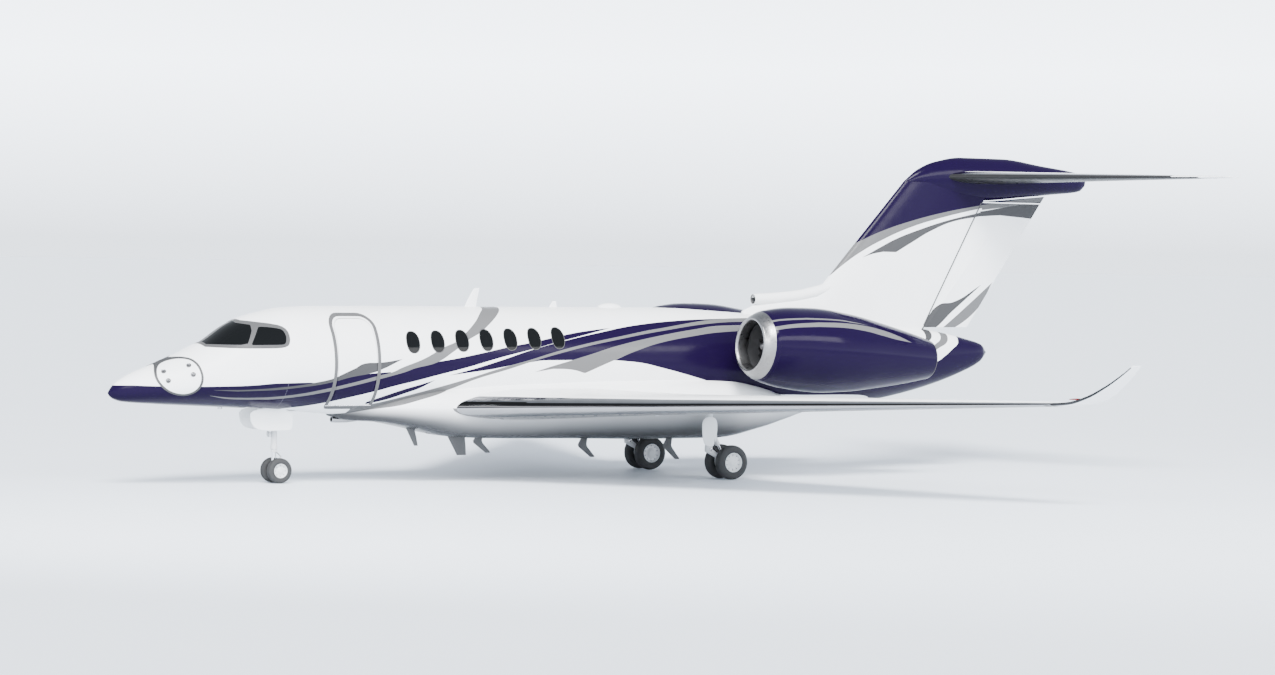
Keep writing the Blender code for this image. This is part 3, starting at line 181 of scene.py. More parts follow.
def rings_to_faces(rings, closed=False):
    """Faces between rings of equal length, with a cap at each end unless the rings close."""
    count, faces = len(rings[0]), []
    for r in range(len(rings) if closed else len(rings) - 1):
        a, b = r * count, (r + 1) % len(rings) * count
        faces += [(a + i, a + (i + 1) % count, b + (i + 1) % count, b + i) for i in range(count)]
    if not closed:
        faces += [tuple(range(count)), tuple(range((len(rings) - 1) * count, len(rings) * count))]
    return faces


def form(name, verts, faces, finish=None, sharp=35):
    """An object with outward faces from station points."""
    mesh = bpy.data.meshes.new(name)
    mesh.from_pydata([place(v) for v in verts], [], faces)
    shape = bmesh.new()
    shape.from_mesh(mesh)
    bmesh.ops.remove_doubles(shape, verts=shape.verts, dist=1e-6)
    bmesh.ops.recalc_face_normals(shape, faces=shape.faces)
    shape.to_mesh(mesh)
    shape.free()
    mesh.shade_smooth()
    mesh.set_sharp_from_angle(angle=math.radians(sharp))
    if finish:
        mesh.materials.append(finish)
    return link(name, mesh)


def loft(name, rings, finish=None, closed=False, sharp=35):
    return form(name, [p for ring in rings for p in ring], rings_to_faces(rings, closed), finish, sharp)


def lofts(name, groups):
    """Several closed lofts as one object."""
    verts, faces = [], []
    for rings in groups:
        faces += [tuple(i + len(verts) for i in face) for face in rings_to_faces(rings)]
        verts += [p for ring in rings for p in ring]
    return form(name, verts, faces)


def join(name, parts):
    """Several objects as one, which keeps their finishes."""
    shape, mesh, finishes = bmesh.new(), bpy.data.meshes.new(name), []
    for part in parts:
        for face in part.data.polygons:
            own = part.data.materials[face.material_index] if part.data.materials else None
            if own not in finishes:
                finishes.append(own)
            face.material_index = finishes.index(own)
        shape.from_mesh(part.data)
    shape.to_mesh(mesh)
    shape.free()
    for part in parts:
        bpy.data.objects.remove(part)
    for own in finishes:
        mesh.materials.append(own)
    return link(name, mesh)


def evaluated(piece):
    """The piece's mesh after its modifiers."""
    bpy.context.view_layer.update()
    return bpy.data.meshes.new_from_object(piece.evaluated_get(bpy.context.evaluated_depsgraph_get()))


def carve(target, tool, way="DIFFERENCE"):
    """One exact boolean of the target with the tool, which is then removed."""
    step = target.modifiers.new("carve", "BOOLEAN")
    step.operation, step.object, step.solver = way, tool, "EXACT"
    mesh = evaluated(target)
    target.modifiers.remove(step)
    target.data = mesh
    bpy.data.objects.remove(tool)


def tint(piece, finish, chosen):
    """The faces that the test chooses get a finish of their own."""
    piece.data.materials.append(finish)
    for face in piece.data.polygons:
        if chosen(face):
            face.material_index = len(piece.data.materials) - 1
    return piece


def settle(piece, slot, *stands_for, body="airframe"):
    """Hands a finished piece to the body that it rides on, for the solids that it stands for."""
    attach(piece, body)
    if stands_for:
        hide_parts(*stands_for)
    print(piece.name, len(piece.data.polygons), "faces on", body)


# %% True normals
def hull_normal(p):
    """The fuselage's outward normal at a point of the model, whatever its depth."""
    x, y, z = p.x + MID_X, p.y, p.z - CENTRE_HEIGHT

    def level(x):
        return math.hypot(y / HALF_WIDTH(x), (z - WAIST(x)) / reach(x, z))

    near = max(level(x), 1e-6)
    up = (z - WAIST(x)) / reach(x, z) ** 2 / near
    out = y / HALF_WIDTH(x) ** 2 / near
    along = (level(min(x + 0.01, TAIL_END)) - level(max(x - 0.01, 0.0))) / 0.02
    return Vector((along, out, up)).normalized()


def follow(piece, normal_at, limit=0.75):
    """Corner normals from the true surface wherever a face lies along it."""
    mesh = piece.data
    mesh.shade_smooth()
    true = [normal_at(v.co) for v in mesh.vertices]
    normals = []
    for face in mesh.polygons:
        for v in face.vertices:
            along = true[v].dot(face.normal)
            normals.append(true[v] if along > limit else -true[v] if along < -limit else face.normal)
    mesh.normals_split_custom_set(normals)
    return piece


# %% [markdown]
# ## Paint
# Aircraft paint is a hard gloss under a clear coat. Up close it has a faint orange peel, and its
# gloss varies where it has been wiped. The coloured bands are sprayed along masking tape, so each
# band is a region between two smooth edges. The edges could be cut into the mesh, but a mask in the
# material stays crisp on any mesh and lets the skins stay simple. Each edge is a Float Curve of the
# height over the station, read from the piece's own object coordinates.

# %% Wiring helper
TAPE_EDGE = 0.004


class Wires:
    """Short words for the nodes of one material."""

    def __init__(self, name, colour, roughness, metallic=0.0, coat=0.0):
        self.made = bpy.data.materials.new(name)
        self.made.use_nodes = True
        self.tree = self.made.node_tree
        self.shader = self.tree.nodes["Principled BSDF"]
        for socket, value in (("Base Color", (*colour, 1.0)), ("Roughness", roughness),
                              ("Metallic", metallic), ("Coat Weight", coat), ("Coat Roughness", 0.04)):
            self.shader.inputs[socket].default_value = value
        self.made.diffuse_color = (*colour, 1.0)
        self.point = self.tree.nodes.new("ShaderNodeTexCoord").outputs["Object"]

    def feed(self, socket, value):
        if isinstance(value, bpy.types.NodeSocket):
            self.tree.links.new(value, socket)
        else:
            socket.default_value = value

    def node(self, kind, output, values, **settings):
        """One output of a new node with its settings and inputs."""
        made = self.tree.nodes.new("ShaderNode" + kind)
        for name, value in settings.items():
            setattr(made, name, value)
        for socket, value in values:
            self.feed(made.inputs[socket], value)
        return made.outputs[output]

    def sum(self, operation, *values, clamp=False):
        return self.node("Math", 0, enumerate(values), operation=operation, use_clamp=clamp)

    def blend(self, share, a, b):
        return self.node("Mix", 2, ((0, share), (6, a), (7, b)), data_type="RGBA")

    def noise(self, scale, detail=3.0, stretch=(1.0, 1.0, 1.0)):
        mapping = self.node("Mapping", 0, (("Vector", self.point), ("Scale", stretch)))
        return self.node("TexNoise", "Fac", (("Vector", mapping), ("Scale", scale), ("Detail", detail)))

    def between(self, fac, low, high):
        """The noise turned into a range of values."""
        return self.node("MapRange", 0, ((0, fac), (1, 0.3), (2, 0.7), (3, low), (4, high)))

    def bump(self, height, strength, distance=0.001):
        values = ("Strength", strength), ("Distance", distance), ("Height", height)
        self.feed(self.shader.inputs["Normal"], self.node("Bump", 0, values))

    def stations(self):
        """Station x and height z of the shaded point."""
        parts = self.node("SeparateXYZ", 0, ((0, self.point),)).node.outputs
        return self.sum("ADD", parts[0], MID_X), self.sum("SUBTRACT", parts[2], CENTRE_HEIGHT)

    def edge(self, x, points):
        """The painted edge through the points: its height at x."""
        (x0, _), (x1, _) = points[0], points[-1]
        low, high = min(z for _, z in points), max(z for _, z in points) + 1e-4
        share = self.sum("DIVIDE", self.sum("SUBTRACT", x, x0), x1 - x0, clamp=True)
        node = self.tree.nodes.new("ShaderNodeFloatCurve")
        bend = node.mapping.curves[0]
        spots = [((px - x0) / (x1 - x0), (pz - low) / (high - low)) for px, pz in points]
        bend.points[0].location, bend.points[-1].location = spots[0], spots[-1]
        for spot in spots[1:-1]:
            bend.points.new(*spot)
        for knot in bend.points:
            knot.handle_type = "AUTO_CLAMPED"
        for k, ((_, before), (_, here), (_, after)) in enumerate(zip(points, points[1:], points[2:]), 1):
            if (here - before) * (after - here) < 0:
                bend.points[k].handle_type = "VECTOR"
        node.mapping.update()
        self.feed(node.inputs["Value"], share)
        return self.sum("MULTIPLY_ADD", node.outputs[0], high - low, low)

    def band(self, x, z, upper, lower):
        """1 between the two edges and between their ends, and 0 outside them."""
        start, end = max(upper[0][0], lower[0][0]), min(upper[-1][0], lower[-1][0])
        over = self.sum("SUBTRACT", z, self.edge(x, lower))
        under = self.sum("SUBTRACT", self.edge(x, upper), z)
        mask = self.sum("MINIMUM", over, under)
        for ahead in (self.sum("SUBTRACT", x, start), self.sum("SUBTRACT", end, x)):
            mask = self.sum("MINIMUM", mask, ahead)
        return self.sum("MULTIPLY_ADD", mask, 1 / TAPE_EDGE, 0.5, clamp=True)


WHITE = (0.84, 0.85, 0.86)
NAVY = (0.0055, 0.0022, 0.0175)
SILVER = (0.105, 0.105, 0.107)
SLATE = (0.047, 0.047, 0.049)


def shade(colour, by=1.0):
    return tuple(c * by for c in colour) + (1.0,)


def paint(name, base, bands=(), roughness=0.22, fade=None):
    """Gloss paint with its bands, each a colour with its upper and lower edge.

    A fade is a painted shade: a tone, the height where it starts and the lower line where it is full."""
    w = Wires(name, base, roughness, coat=0.015)
    w.shader.inputs["Specular IOR Level"].default_value = 0.06
    colour = w.blend(w.between(w.noise(1.7, 4.0), 0.0, 1.0), shade(base, 0.97), shade(base))
    if bands:
        x, z = w.stations()
        for band_colour, upper, lower in bands:
            colour = w.blend(w.band(x, z, upper, lower), colour, shade(band_colour))
    # A fade darkens the colour below its start: a painted shade.
    if fade:
        tone, start, foot = fade
        depth = w.sum("SUBTRACT", start, w.edge(x, foot))
        share = w.sum("DIVIDE", w.sum("SUBTRACT", start, z), depth, clamp=True)
        colour = w.blend(w.sum("MULTIPLY", share, w.sum("SUBTRACT", 2.0, share)), colour, shade(tone))
    w.feed(w.shader.inputs["Base Color"], colour)
    w.feed(w.shader.inputs["Roughness"], w.between(w.noise(6.0, 5.0), roughness - 0.05, roughness + 0.05))
    w.bump(w.noise(420.0, 2.0), 0.05, 0.0002)
    return w.made


# %% [markdown]
# ## The bands
# The paint scheme starts as a dark blue chin, which climbs past the door and over the windows and
# widens into a blue tail. Silver and slate ribbons run along it. Each row below is one edge, written
# as stations and heights. The right side is the mirror of the left, so one set of edges serves both.

# %% Edges of the fuselage bands
UNDER = -1.8
CHIN_UPPER = [(-0.02, -0.41), (0.36, -0.40), (0.70, -0.41), (1.56, -0.415), (2.18, -0.402), (2.57, -0.383),
              (2.97, -0.353), (3.585, -0.34), (3.807, -0.36), (4.05, -0.325), (4.42, -0.232),
              (4.757, -0.182), (5.187, -0.15)]
MAIN_UPPER = [(5.0, -0.26), (5.4, -0.12), (5.676, -0.07), (6.084, 0.026), (6.449, 0.08), (7.147, 0.205),
              (7.72, 0.317), (8.204, 0.395), (8.707, 0.49), (9.211, 0.58), (9.714, 0.642),
              (10.02, 0.672)]
CHIN_END = 3.15
CHIN_LOWER = [(-0.02, UNDER), (CHIN_END, UNDER)]
STEP_LOWER = [(CHIN_END, -0.93), (3.294, -0.854), (3.638, -0.80), (4.069, -0.717), (4.445, -0.63),
              (4.83, -0.54), (5.187, -0.447)]
MAIN_LOWER = [(5.0, -0.50), (5.316, -0.415), (5.775, -0.312), (6.1, -0.232), (6.773, -0.076), (7.514, 0.115),
              (8.189, 0.265), (8.685, 0.380), (9.186, 0.49), (9.699, 0.60), (10.02, 0.671)]
SWOOSH_UPPER = [(1.765, -0.478), (2.193, -0.477), (2.589, -0.462), (2.988, -0.432), (3.389, -0.39),
                (3.711, -0.336), (3.999, -0.275), (4.2, -0.19), (4.447, -0.081), (4.704, 0.02),
                (4.962, 0.027), (5.42, 0.088)]
SWOOSH_LOWER = [(1.765, -0.482), (2.202, -0.505), (2.6, -0.494), (3.001, -0.476), (3.401, -0.434),
                (3.807, -0.38), (4.049, -0.33), (4.42, -0.238), (4.757, -0.18), (5.051, -0.083),
                (5.224, -0.005), (5.42, 0.086)]
RIBBON_UPPER = [(1.72, -0.583), (2.052, -0.617), (2.456, -0.626), (2.855, -0.616), (3.443, -0.554),
                (3.836, -0.48), (4.438, -0.348), (4.969, -0.214), (5.231, -0.151), (5.405, -0.074),
                (5.855, 0.087), (6.331, 0.316), (6.579, 0.408), (6.825, 0.57), (7.133, 0.79),
                (7.355, 0.95), (7.489, 1.02), (7.57, 1.08), (7.95, 1.40)]
RIBBON_LOWER = [(1.72, -0.587), (2.067, -0.645), (2.477, -0.663), (2.88, -0.661), (3.466, -0.603),
                (3.856, -0.54), (4.453, -0.408), (4.861, -0.311), (5.238, -0.218), (5.494, -0.15),
                (5.676, -0.087), (6.084, 0.005), (6.505, 0.227), (6.864, 0.449), (7.126, 0.57),
                (7.373, 0.719), (7.688, 0.912), (7.818, 0.991), (7.95, 1.08)]
SLIVER_UPPER = [(4.834, -0.722), (5.167, -0.600), (5.557, -0.469), (5.802, -0.402), (6.12, -0.31)]
SLIVER_LOWER = [(4.834, -0.765), (5.188, -0.685), (5.571, -0.556), (5.813, -0.472), (6.12, -0.315)]
LOW_RIBBON_UPPER = [(4.603, -0.83), (4.941, -0.765), (5.402, -0.657), (5.837, -0.546), (6.709, -0.317),
                    (7.515, -0.087), (8.168, 0.075), (8.655, 0.206), (9.4, 0.372), (10.158, 0.507),
                    (11.207, 0.675), (12.633, 0.846), (13.5, 0.87), (14.6, 0.79), (15.8, 0.5)]
LOW_RIBBON_LOWER = [(4.603, -0.95), (4.99, -0.87), (5.397, -0.802), (5.85, -0.675), (6.385, -0.519),
                    (7.028, -0.286), (7.702, -0.103), (8.123, 0.019), (8.645, 0.154), (9.379, 0.318),
                    (10.134, 0.454), (11.167, 0.616), (12.574, 0.775), (13.5, 0.80), (14.6, 0.73),
                    (15.8, 0.48)]
CREST_UPPER = [(6.42, -0.221), (7.004, -0.08), (7.513, 0.062), (8.183, 0.257), (8.974, 0.437),
               (9.683, 0.573), (10.731, 0.739), (11.803, 0.825), (12.707, 0.855), (13.4, 0.82),
               (14.4, 0.70), (15.4, 0.50), (16.6, 0.15), (17.3, -0.02)]
CREST_LOWER = [(6.42, -0.221), (6.962, -0.155), (7.422, -0.092), (8.168, 0.072), (8.655, 0.203),
               (9.4, 0.369), (10.158, 0.504), (11.207, 0.672), (12.633, 0.82), (14.6, 0.60), (17.3, -0.30)]
SECOND_UPPER = [(8.123, 0.019), (8.645, 0.16), (9.379, 0.32), (10.134, 0.456), (11.167, 0.62),
                (12.574, 0.79), (14.0, 0.80)]
SECOND_LOWER = [(8.123, 0.019), (8.452, 0.055), (9.07, 0.060), (9.512, 0.178), (10.114, 0.337),
                (11.142, 0.532), (11.938, 0.648), (12.524, 0.713), (14.0, 0.73)]
BLADE_UPPER = [(8.249, -0.164), (8.549, -0.073), (9.07, 0.063), (9.512, 0.180), (10.114, 0.339),
               (11.142, 0.534), (11.938, 0.650), (12.524, 0.713), (14.0, 0.73), (15.0, 0.62)]
BLADE_LOWER = [(8.249, -0.166), (8.645, -0.107), (8.978, -0.117), (9.348, -0.194), (9.984, 0.055),
               (10.583, 0.262), (11.097, 0.396), (11.877, 0.521), (12.461, 0.588), (14.0, 0.65),
               (15.0, 0.60)]
FIELD_UPPER = [(9.984, 0.055), (10.583, 0.27), (11.097, 0.41), (11.877, 0.53), (12.461, 0.60),
               (14.0, 0.66), (15.2, 0.62), (16.2, 0.32), (17.3, -0.02)]
FIELD_LOWER = [(9.984, 0.055), (10.569, 0.003), (11.061, -0.096), (11.57, -0.213), (12.334, -0.41),
               (12.725, -0.521), (13.191, -0.613), (14.5, -0.665), (15.893, -0.684), (16.169, -0.697),
               (16.409, -0.742), (16.7, -0.92), (17.3, -1.1)]
TAIL_UPPER = [(17.29, -0.02), (17.7, -0.09), (18.05, -0.02), (18.283, 0.096), (18.514, 0.24),
              (18.682, 0.337), (18.85, 0.56), (19.6, 0.70)]
TAIL_LOWER = [(17.29, -1.2), (19.6, -1.2)]
TAIL_SLATE = ([(17.60, 0.36), (17.75, 0.42), (17.826, 0.478), (17.853, 0.60), (17.87, 0.75), (18.08, 0.75)],
              [(17.60, 0.35), (17.75, 0.36), (17.87, 0.40), (17.992, 0.477), (18.05, 0.57), (18.08, 0.75)])
TAIL_SILVER = ([(17.60, 0.17), (17.85, 0.25), (18.043, 0.341), (18.221, 0.437), (18.29, 0.55), (18.32, 0.75),
                (18.54, 0.75)],
               [(17.60, 0.08), (17.85, 0.14), (18.131, 0.262), (18.389, 0.378), (18.49, 0.52), (18.54, 0.75)])
print("the edges run from station", CHIN_UPPER[0][0], "to", TAIL_UPPER[-1][0])


# %% Fuselage paint
def until(points, x):
    """The edge as far as station x."""
    kept = [p for p in points if p[0] < x]
    return kept + [(x, line(points)(x))]


def since(points, x):
    """The edge from station x on."""
    return [(x, line(points)(x))] + [p for p in points if p[0] > x]


BODY_BANDS = [
    (NAVY, until(CHIN_UPPER, CHIN_END), CHIN_LOWER),
    (NAVY, since(CHIN_UPPER, CHIN_END), STEP_LOWER),
    (NAVY, MAIN_UPPER, MAIN_LOWER),
    (NAVY, CREST_UPPER, CREST_LOWER),
    (NAVY, SECOND_UPPER, SECOND_LOWER),
    (NAVY, FIELD_UPPER, FIELD_LOWER),
    (NAVY, TAIL_UPPER, TAIL_LOWER),
    (NAVY, SLIVER_UPPER, SLIVER_LOWER),
    (SILVER, LOW_RIBBON_UPPER, LOW_RIBBON_LOWER),
    (SILVER, BLADE_UPPER, BLADE_LOWER),
    (SLATE, *TAIL_SLATE),
    (SILVER, *TAIL_SILVER),
    (SLATE, SWOOSH_UPPER, SWOOSH_LOWER),
    (SILVER, RIBBON_UPPER, RIBBON_LOWER),
]
body_paint = paint("body_paint", WHITE, BODY_BANDS)
white_paint = paint("white_paint", WHITE)
navy_paint = paint("navy_paint", NAVY, roughness=0.16)
frame_paint = paint("frame_paint", (0.07, 0.07, 0.072), roughness=0.3)
# A darker grey: a painted shade on the undersides of the wings.
underside_shade_paint = paint("underside_shade_paint", (0.15, 0.15, 0.152), roughness=0.3)
# A near-black: a painted shade under the tailplane and on its leading edge.
tail_shade_paint = paint("tail_shade_paint", (0.018, 0.018, 0.019), roughness=0.3)
print("bands on the fuselage", len(BODY_BANDS))

# %% [markdown]
# ## Metal, glass, rubber and trim
# The leading edges are polished aluminium, because paint would chip there. The inlet lips are bare
# metal for the same reason. Polished skin still shows fine scratches along the way it was rubbed, so the
# roughness and the bump use a noise that is stretched one way.

# %% Metal finishes
def metal(name, colour, roughness, scale, stretch, strength=0.08):
    """Bare metal with rubbing marks along one direction."""
    w = Wires(name, colour, roughness, metallic=1.0)
    marks = w.noise(scale, 6.0, stretch)
    w.feed(w.shader.inputs["Roughness"], w.between(marks, roughness * 0.7, roughness * 1.3))
    tint = w.between(w.noise(3.0), 0.0, 1.0)
    w.feed(w.shader.inputs["Base Color"], w.blend(tint, shade(colour, 0.9), shade(colour)))
    w.bump(marks, strength, 0.0005)
    return w.made


polished = metal("polished_metal", (0.34, 0.34, 0.35), 0.14, 30.0, (1.0, 0.08, 1.0), 0.02)
# A near-black polish: a painted reflection of the horizon along the top of the wing's leading edge.
painted_reflection_metal = metal("painted_reflection_metal", (0.035, 0.035, 0.037), 0.16, 30.0, (1.0, 0.08, 1.0), 0.02)
lip_metal = metal("lip_metal", (0.26, 0.26, 0.265), 0.34, 40.0, (0.3, 1.0, 1.0), 0.03)
titanium = metal("titanium", (0.085, 0.083, 0.085), 0.34, 60.0, (1.0, 1.0, 1.0))
burnt_metal = metal("burnt_metal", (0.075, 0.067, 0.062), 0.42, 25.0, (0.2, 1.0, 1.0))
steel = metal("steel", (0.55, 0.55, 0.57), 0.22, 120.0, (1.0, 1.0, 0.1))
chrome = metal("chrome", (0.80, 0.80, 0.82), 0.06, 200.0, (1.0, 1.0, 0.05), 0.01)
brake_metal = metal("brake_metal", (0.10, 0.09, 0.085), 0.55, 90.0, (1.0, 0.2, 1.0))


# %% Glass, rubber and soft trim
def plastic(name, colour, roughness, grain, strength, tint=0.85):
    """A moulded or woven finish: a grain for its bump and a soft change of tone."""
    w = Wires(name, colour, roughness)
    fine = w.noise(grain, 4.0)
    w.feed(w.shader.inputs["Base Color"],
           w.blend(w.between(w.noise(grain / 30, 4.0), 0.0, 1.0), shade(colour, tint), shade(colour)))
    w.feed(w.shader.inputs["Roughness"], w.between(fine, roughness - 0.06, min(roughness + 0.06, 1.0)))
    w.bump(fine, strength, 0.0008)
    return w.made


def glazing(name, colour, through):
    """Tinted gloss glass with faint wiping marks."""
    w = Wires(name, colour, 0.04)
    w.shader.inputs["Specular IOR Level"].default_value = 0.06
    w.shader.inputs["Transmission Weight"].default_value = through
    w.shader.inputs["IOR"].default_value = 1.5
    w.feed(w.shader.inputs["Roughness"], w.between(w.noise(12.0, 4.0, (1.0, 1.0, 0.3)), 0.02, 0.07))
    return w.made


dark_glass = glazing("dark_glass", (0.004, 0.0045, 0.005), 0.03)
tyre_rubber = plastic("tyre_rubber", (0.022, 0.022, 0.023), 0.78, 900.0, 0.35)
seal_rubber = plastic("seal_rubber", (0.03, 0.03, 0.032), 0.6, 700.0, 0.2)
gear_paint = plastic("gear_paint", (0.62, 0.63, 0.64), 0.32, 350.0, 0.06, 0.92)
leather = plastic("leather", (0.42, 0.36, 0.28), 0.5, 520.0, 0.5)
cabin_trim = plastic("cabin_trim", (0.55, 0.52, 0.47), 0.6, 300.0, 0.2, 0.93)
carpet = plastic("carpet", (0.20, 0.18, 0.16), 0.9, 800.0, 0.9, 0.7)
# A dark liner: the cowl ducts' own lining, and a painted shade inside the fin's ram air tube.
liner_and_bore_shade = plastic("duct_liner_and_bore_shade", (0.045, 0.045, 0.047), 0.5, 600.0, 0.2)
panel_black = plastic("panel_black", (0.03, 0.03, 0.034), 0.5, 400.0, 0.25)
print("materials", len(bpy.data.materials))

# %% [markdown]
# ## Fuselage skins
# The pressure cabin is a tube of sheet and frames, with a radome in front of it and a tapered tail
# behind. The solid model gives each panel 28 sides, which is right for simulation but shows in gloss
# paint. Each panel is therefore lofted again from the same lines with many more rings, as a shell with
# a real wall, and the doors and windows are cut through it with exact booleans.

# %% Rings of the fuselage
HULL_SIDES = 112
WALL = 0.075


def hull_ring(x, inset=0.0, sides=HULL_SIDES):
    """One ring of the skin, moved in by inset."""
    top, bottom, width, waist = TOP(x) - inset, BOTTOM(x) + inset, HALF_WIDTH(x) - inset, WAIST(x)
    return [(x, width * c, waist + (top - waist if s > 0 else waist - bottom) * s) for c, s in turn(sides)]


def spaced(start, end, count, power=1.0):
    """Values from start to end, closer together near the start where power is above 1."""
    return [start + (end - start) * (k / count) ** power for k in range(count + 1)]


def hull_shell(name, xs, outside=0.0, inside=WALL, finish=None):
    """A layer of the wall between two depths, open at both ends."""
    rings = [hull_ring(x, outside) for x in xs] + [hull_ring(x, inside) for x in reversed(xs)]
    return loft(name, rings, finish, closed=True)


def lined(shell, finish):
    """The inner side of a shell gets a finish of its own."""
    return tint(shell, finish, lambda face: face.normal.dot(hull_normal(face.center)) < -0.6)


def prism(outline, y0, y1):
    """A cutting block with the outline in side view, between two distances from the middle."""
    return loft("tool", [[(x, y, z) for x, z in outline] for y in (y0, y1)])


# %% Outlines
SQUARE = [(-1, -1), (1, -1), (1, 1), (-1, 1)]


def rounded(points, rounds=3):
    """The outline with its corners cut again and again, so that they turn round."""
    for _ in range(rounds):
        points = [spot for a, b in zip(points, points[1:] + points[:1])
                  for spot in ((a[0] * 0.75 + b[0] * 0.25, a[1] * 0.75 + b[1] * 0.25),
                               (a[0] * 0.25 + b[0] * 0.75, a[1] * 0.25 + b[1] * 0.75))]
    return points


def scaled(points, middle, share):
    """The outline at a share of its size round its middle."""
    return [(middle[0] + (x - middle[0]) * share, middle[1] + (z - middle[1]) * share) for x, z in points]


def grown(points, by):
    """The outline moved out along its own normals; it runs either way round."""
    area = sum(a[0] * b[1] - b[0] * a[1] for a, b in zip(points, points[1:] + points[:1]))
    moved = []
    for k, point in enumerate(points):
        before, after = Vector(points[k - 1]), Vector(points[(k + 1) % len(points)])
        along = (after - before).normalized()
        moved.append(tuple(Vector(point) + Vector((along.y, -along.x)) * math.copysign(by, area)))
    return moved


def squarer(value, power):
    """A cosine or sine to the power, with its sign: below 1 it squares a circle up."""
    return math.copysign(abs(value) ** power, value)


# %% Windows
WINDOW_CENTRES = [(5.674 + 0.52 * k, 0.40 + 0.013 * k) for k in range(7)]
WINDOW_WIDTH, WINDOW_HEIGHT, WINDOW_POWER = 0.29, 0.42, 0.88
CLEAR = 1.3


def window_outline(x, z, grow):
    """A rounded window, a little squarer than an ellipse."""
    return [(x + (WINDOW_WIDTH / 2 + grow) * squarer(c, WINDOW_POWER),
             z + (WINDOW_HEIGHT / 2 + grow) * squarer(s, WINDOW_POWER)) for c, s in turn(40)]


def window_tool(grow, y0=-CLEAR, y1=CLEAR):
    """All the cabin windows as one tool, which reaches clear of the skin."""
    return lofts("tool", [[[(px, y, pz) for px, pz in window_outline(x, z, grow)] for y in (y0, y1)]
                          for x, z in WINDOW_CENTRES])


# %% Door outline
DOOR_FRONT, DOOR_BACK, DOOR_TOP, DOOR_BOTTOM, DOOR_GAP = 4.11, 4.90, 0.86, -0.78, 0.010
DOOR_INSIDE = -0.30


def door_outline(grow, draft=0.0):
    """The rounded outline of the cabin door in side view."""
    x0, x1 = DOOR_FRONT - grow + draft, DOOR_BACK + grow - draft
    z0, z1 = DOOR_BOTTOM - grow, DOOR_TOP + grow - draft
    points = []
    for x, z, start, corner in ((x1, z1, 0, 0.2), (x0, z1, 90, 0.2), (x0, z0, 180, 0.03), (x1, z0, 270, 0.03)):
        radius = corner + grow
        cx = x - math.copysign(radius, x - (x0 + x1) / 2)
        cz = z - math.copysign(radius, z - (z0 + z1) / 2)
        points += [(cx + radius * math.cos(a), cz + radius * math.sin(a))
                   for a in (math.radians(start + 10 * k) for k in range(10))]
    return points


def door_block(grow):
    """The tapered block that the door is cut from, so that it swings free of its frame."""
    inside = [(x, DOOR_INSIDE, z) for x, z in door_outline(grow, 0.05)]
    outside = [(x, -CLEAR, z) for x, z in door_outline(grow, -0.01)]
    return loft("tool", [inside, outside])


# %% Cockpit glazing outlines
SURROUND = rounded([(1.66, 0.30), (1.66, 1.0), (2.44, 1.0), (2.46, 0.79), (2.60, 0.775), (3.02, 0.725),
                    (3.16, 0.67), (3.215, 0.56), (3.20, 0.40), (3.14, 0.315), (2.98, 0.285), (2.60, 0.28),
                    (2.336, 0.278), (2.0, 0.285)], 1)
FRONT_PANE = [(1.795, 0.345), (1.795, 1.0), (2.39, 1.0), (2.40, 0.735), (2.585, 0.705), (2.56, 0.60),
              (2.42, 0.36), (2.30, 0.343)]
SIDE_PANE = [(2.715, 0.676), (2.88, 0.668), (3.06, 0.645), (3.12, 0.61), (3.147, 0.52), (3.13, 0.42),
             (3.10, 0.365), (3.04, 0.350), (2.75, 0.345), (2.50, 0.341), (2.485, 0.352), (2.52, 0.41),
             (2.68, 0.65)]
HALF_POST = 0.035


def pane_tool(shrink=0.0):
    """The four cockpit panes: two in front of the centre post and one on each side."""
    panes = ((grown(FRONT_PANE, -shrink), HALF_POST + shrink), (rounded(grown(SIDE_PANE, -shrink), 1), 0.3))
    return lofts("tool", [[[(x, side * y, z) for x, z in outline] for y in (inner, CLEAR)]
                          for outline, inner in panes for side in (-1, 1)])


# %% Build the fuselage panels
JOINT = 0.0003
radome_xs = spaced(0.0, 1.30, 34, 1.7)
radome_rings = [hull_ring(x) for x in radome_xs]
radome_rings += [hull_ring(x, 0.03) for x in reversed(radome_xs) if x > 0.2]
radome = follow(loft("radome_skin", radome_rings, body_paint), hull_normal)
settle(radome, "white_paint", "radome")

nose = hull_shell("nose_skin", spaced(1.3 + JOINT, 3.72, 40), finish=body_paint)
carve(nose, prism(SURROUND, -CLEAR, CLEAR))
carve(nose, loft("tool", [[(x, y, z) for y, z in ((-0.26, -1.3), (0.26, -1.3), (0.26, -0.6), (-0.26, -0.6))]
                          for x in (2.62, 3.62)]))
settle(follow(lined(nose, cabin_trim), hull_normal), "white_paint", "nose_section")

cabin = hull_shell("cabin_skin", spaced(3.72 + JOINT, 5.2, 10) + spaced(5.9, 12.60, 12), finish=body_paint)
carve(cabin, window_tool(0.0))
carve(cabin, door_block(DOOR_GAP))
settle(follow(lined(cabin, cabin_trim), hull_normal), "white_paint", "cabin_shell")

aft = hull_shell("aft_skin", spaced(12.60 + JOINT, 17.30, 30), finish=body_paint)
settle(follow(lined(aft, gear_paint), hull_normal), "white_paint", "aft_fuselage")

tail_xs = spaced(17.30 + JOINT, 19.4, 24) + spaced(19.43, TAIL_END, 8)
tail_rings = [hull_ring(x) for x in reversed(tail_xs)] + [hull_ring(x, 0.05) for x in tail_xs if x < 19.2]
tail = follow(loft("tail_skin", tail_rings, body_paint), hull_normal)
settle(tail, "blue_paint", "tail_cone")

# %% [markdown]
# ## Door, windows and cockpit glass
# The door is a piece of the same wall, so it is the same shell kept inside a tapered block. The
# windows sit 5 mm below the skin in a rubber seal. Cutting the panes out of a shell makes them
# follow the curve of the body, which flat ovals would not.

# %% Door
door = hull_shell("door_skin", spaced(3.9, 5.1, 12), finish=body_paint)
carve(door, door_block(0.0), "INTERSECT")
settle(follow(lined(door, cabin_trim), hull_normal), "white_paint", "cabin_door", body="door")

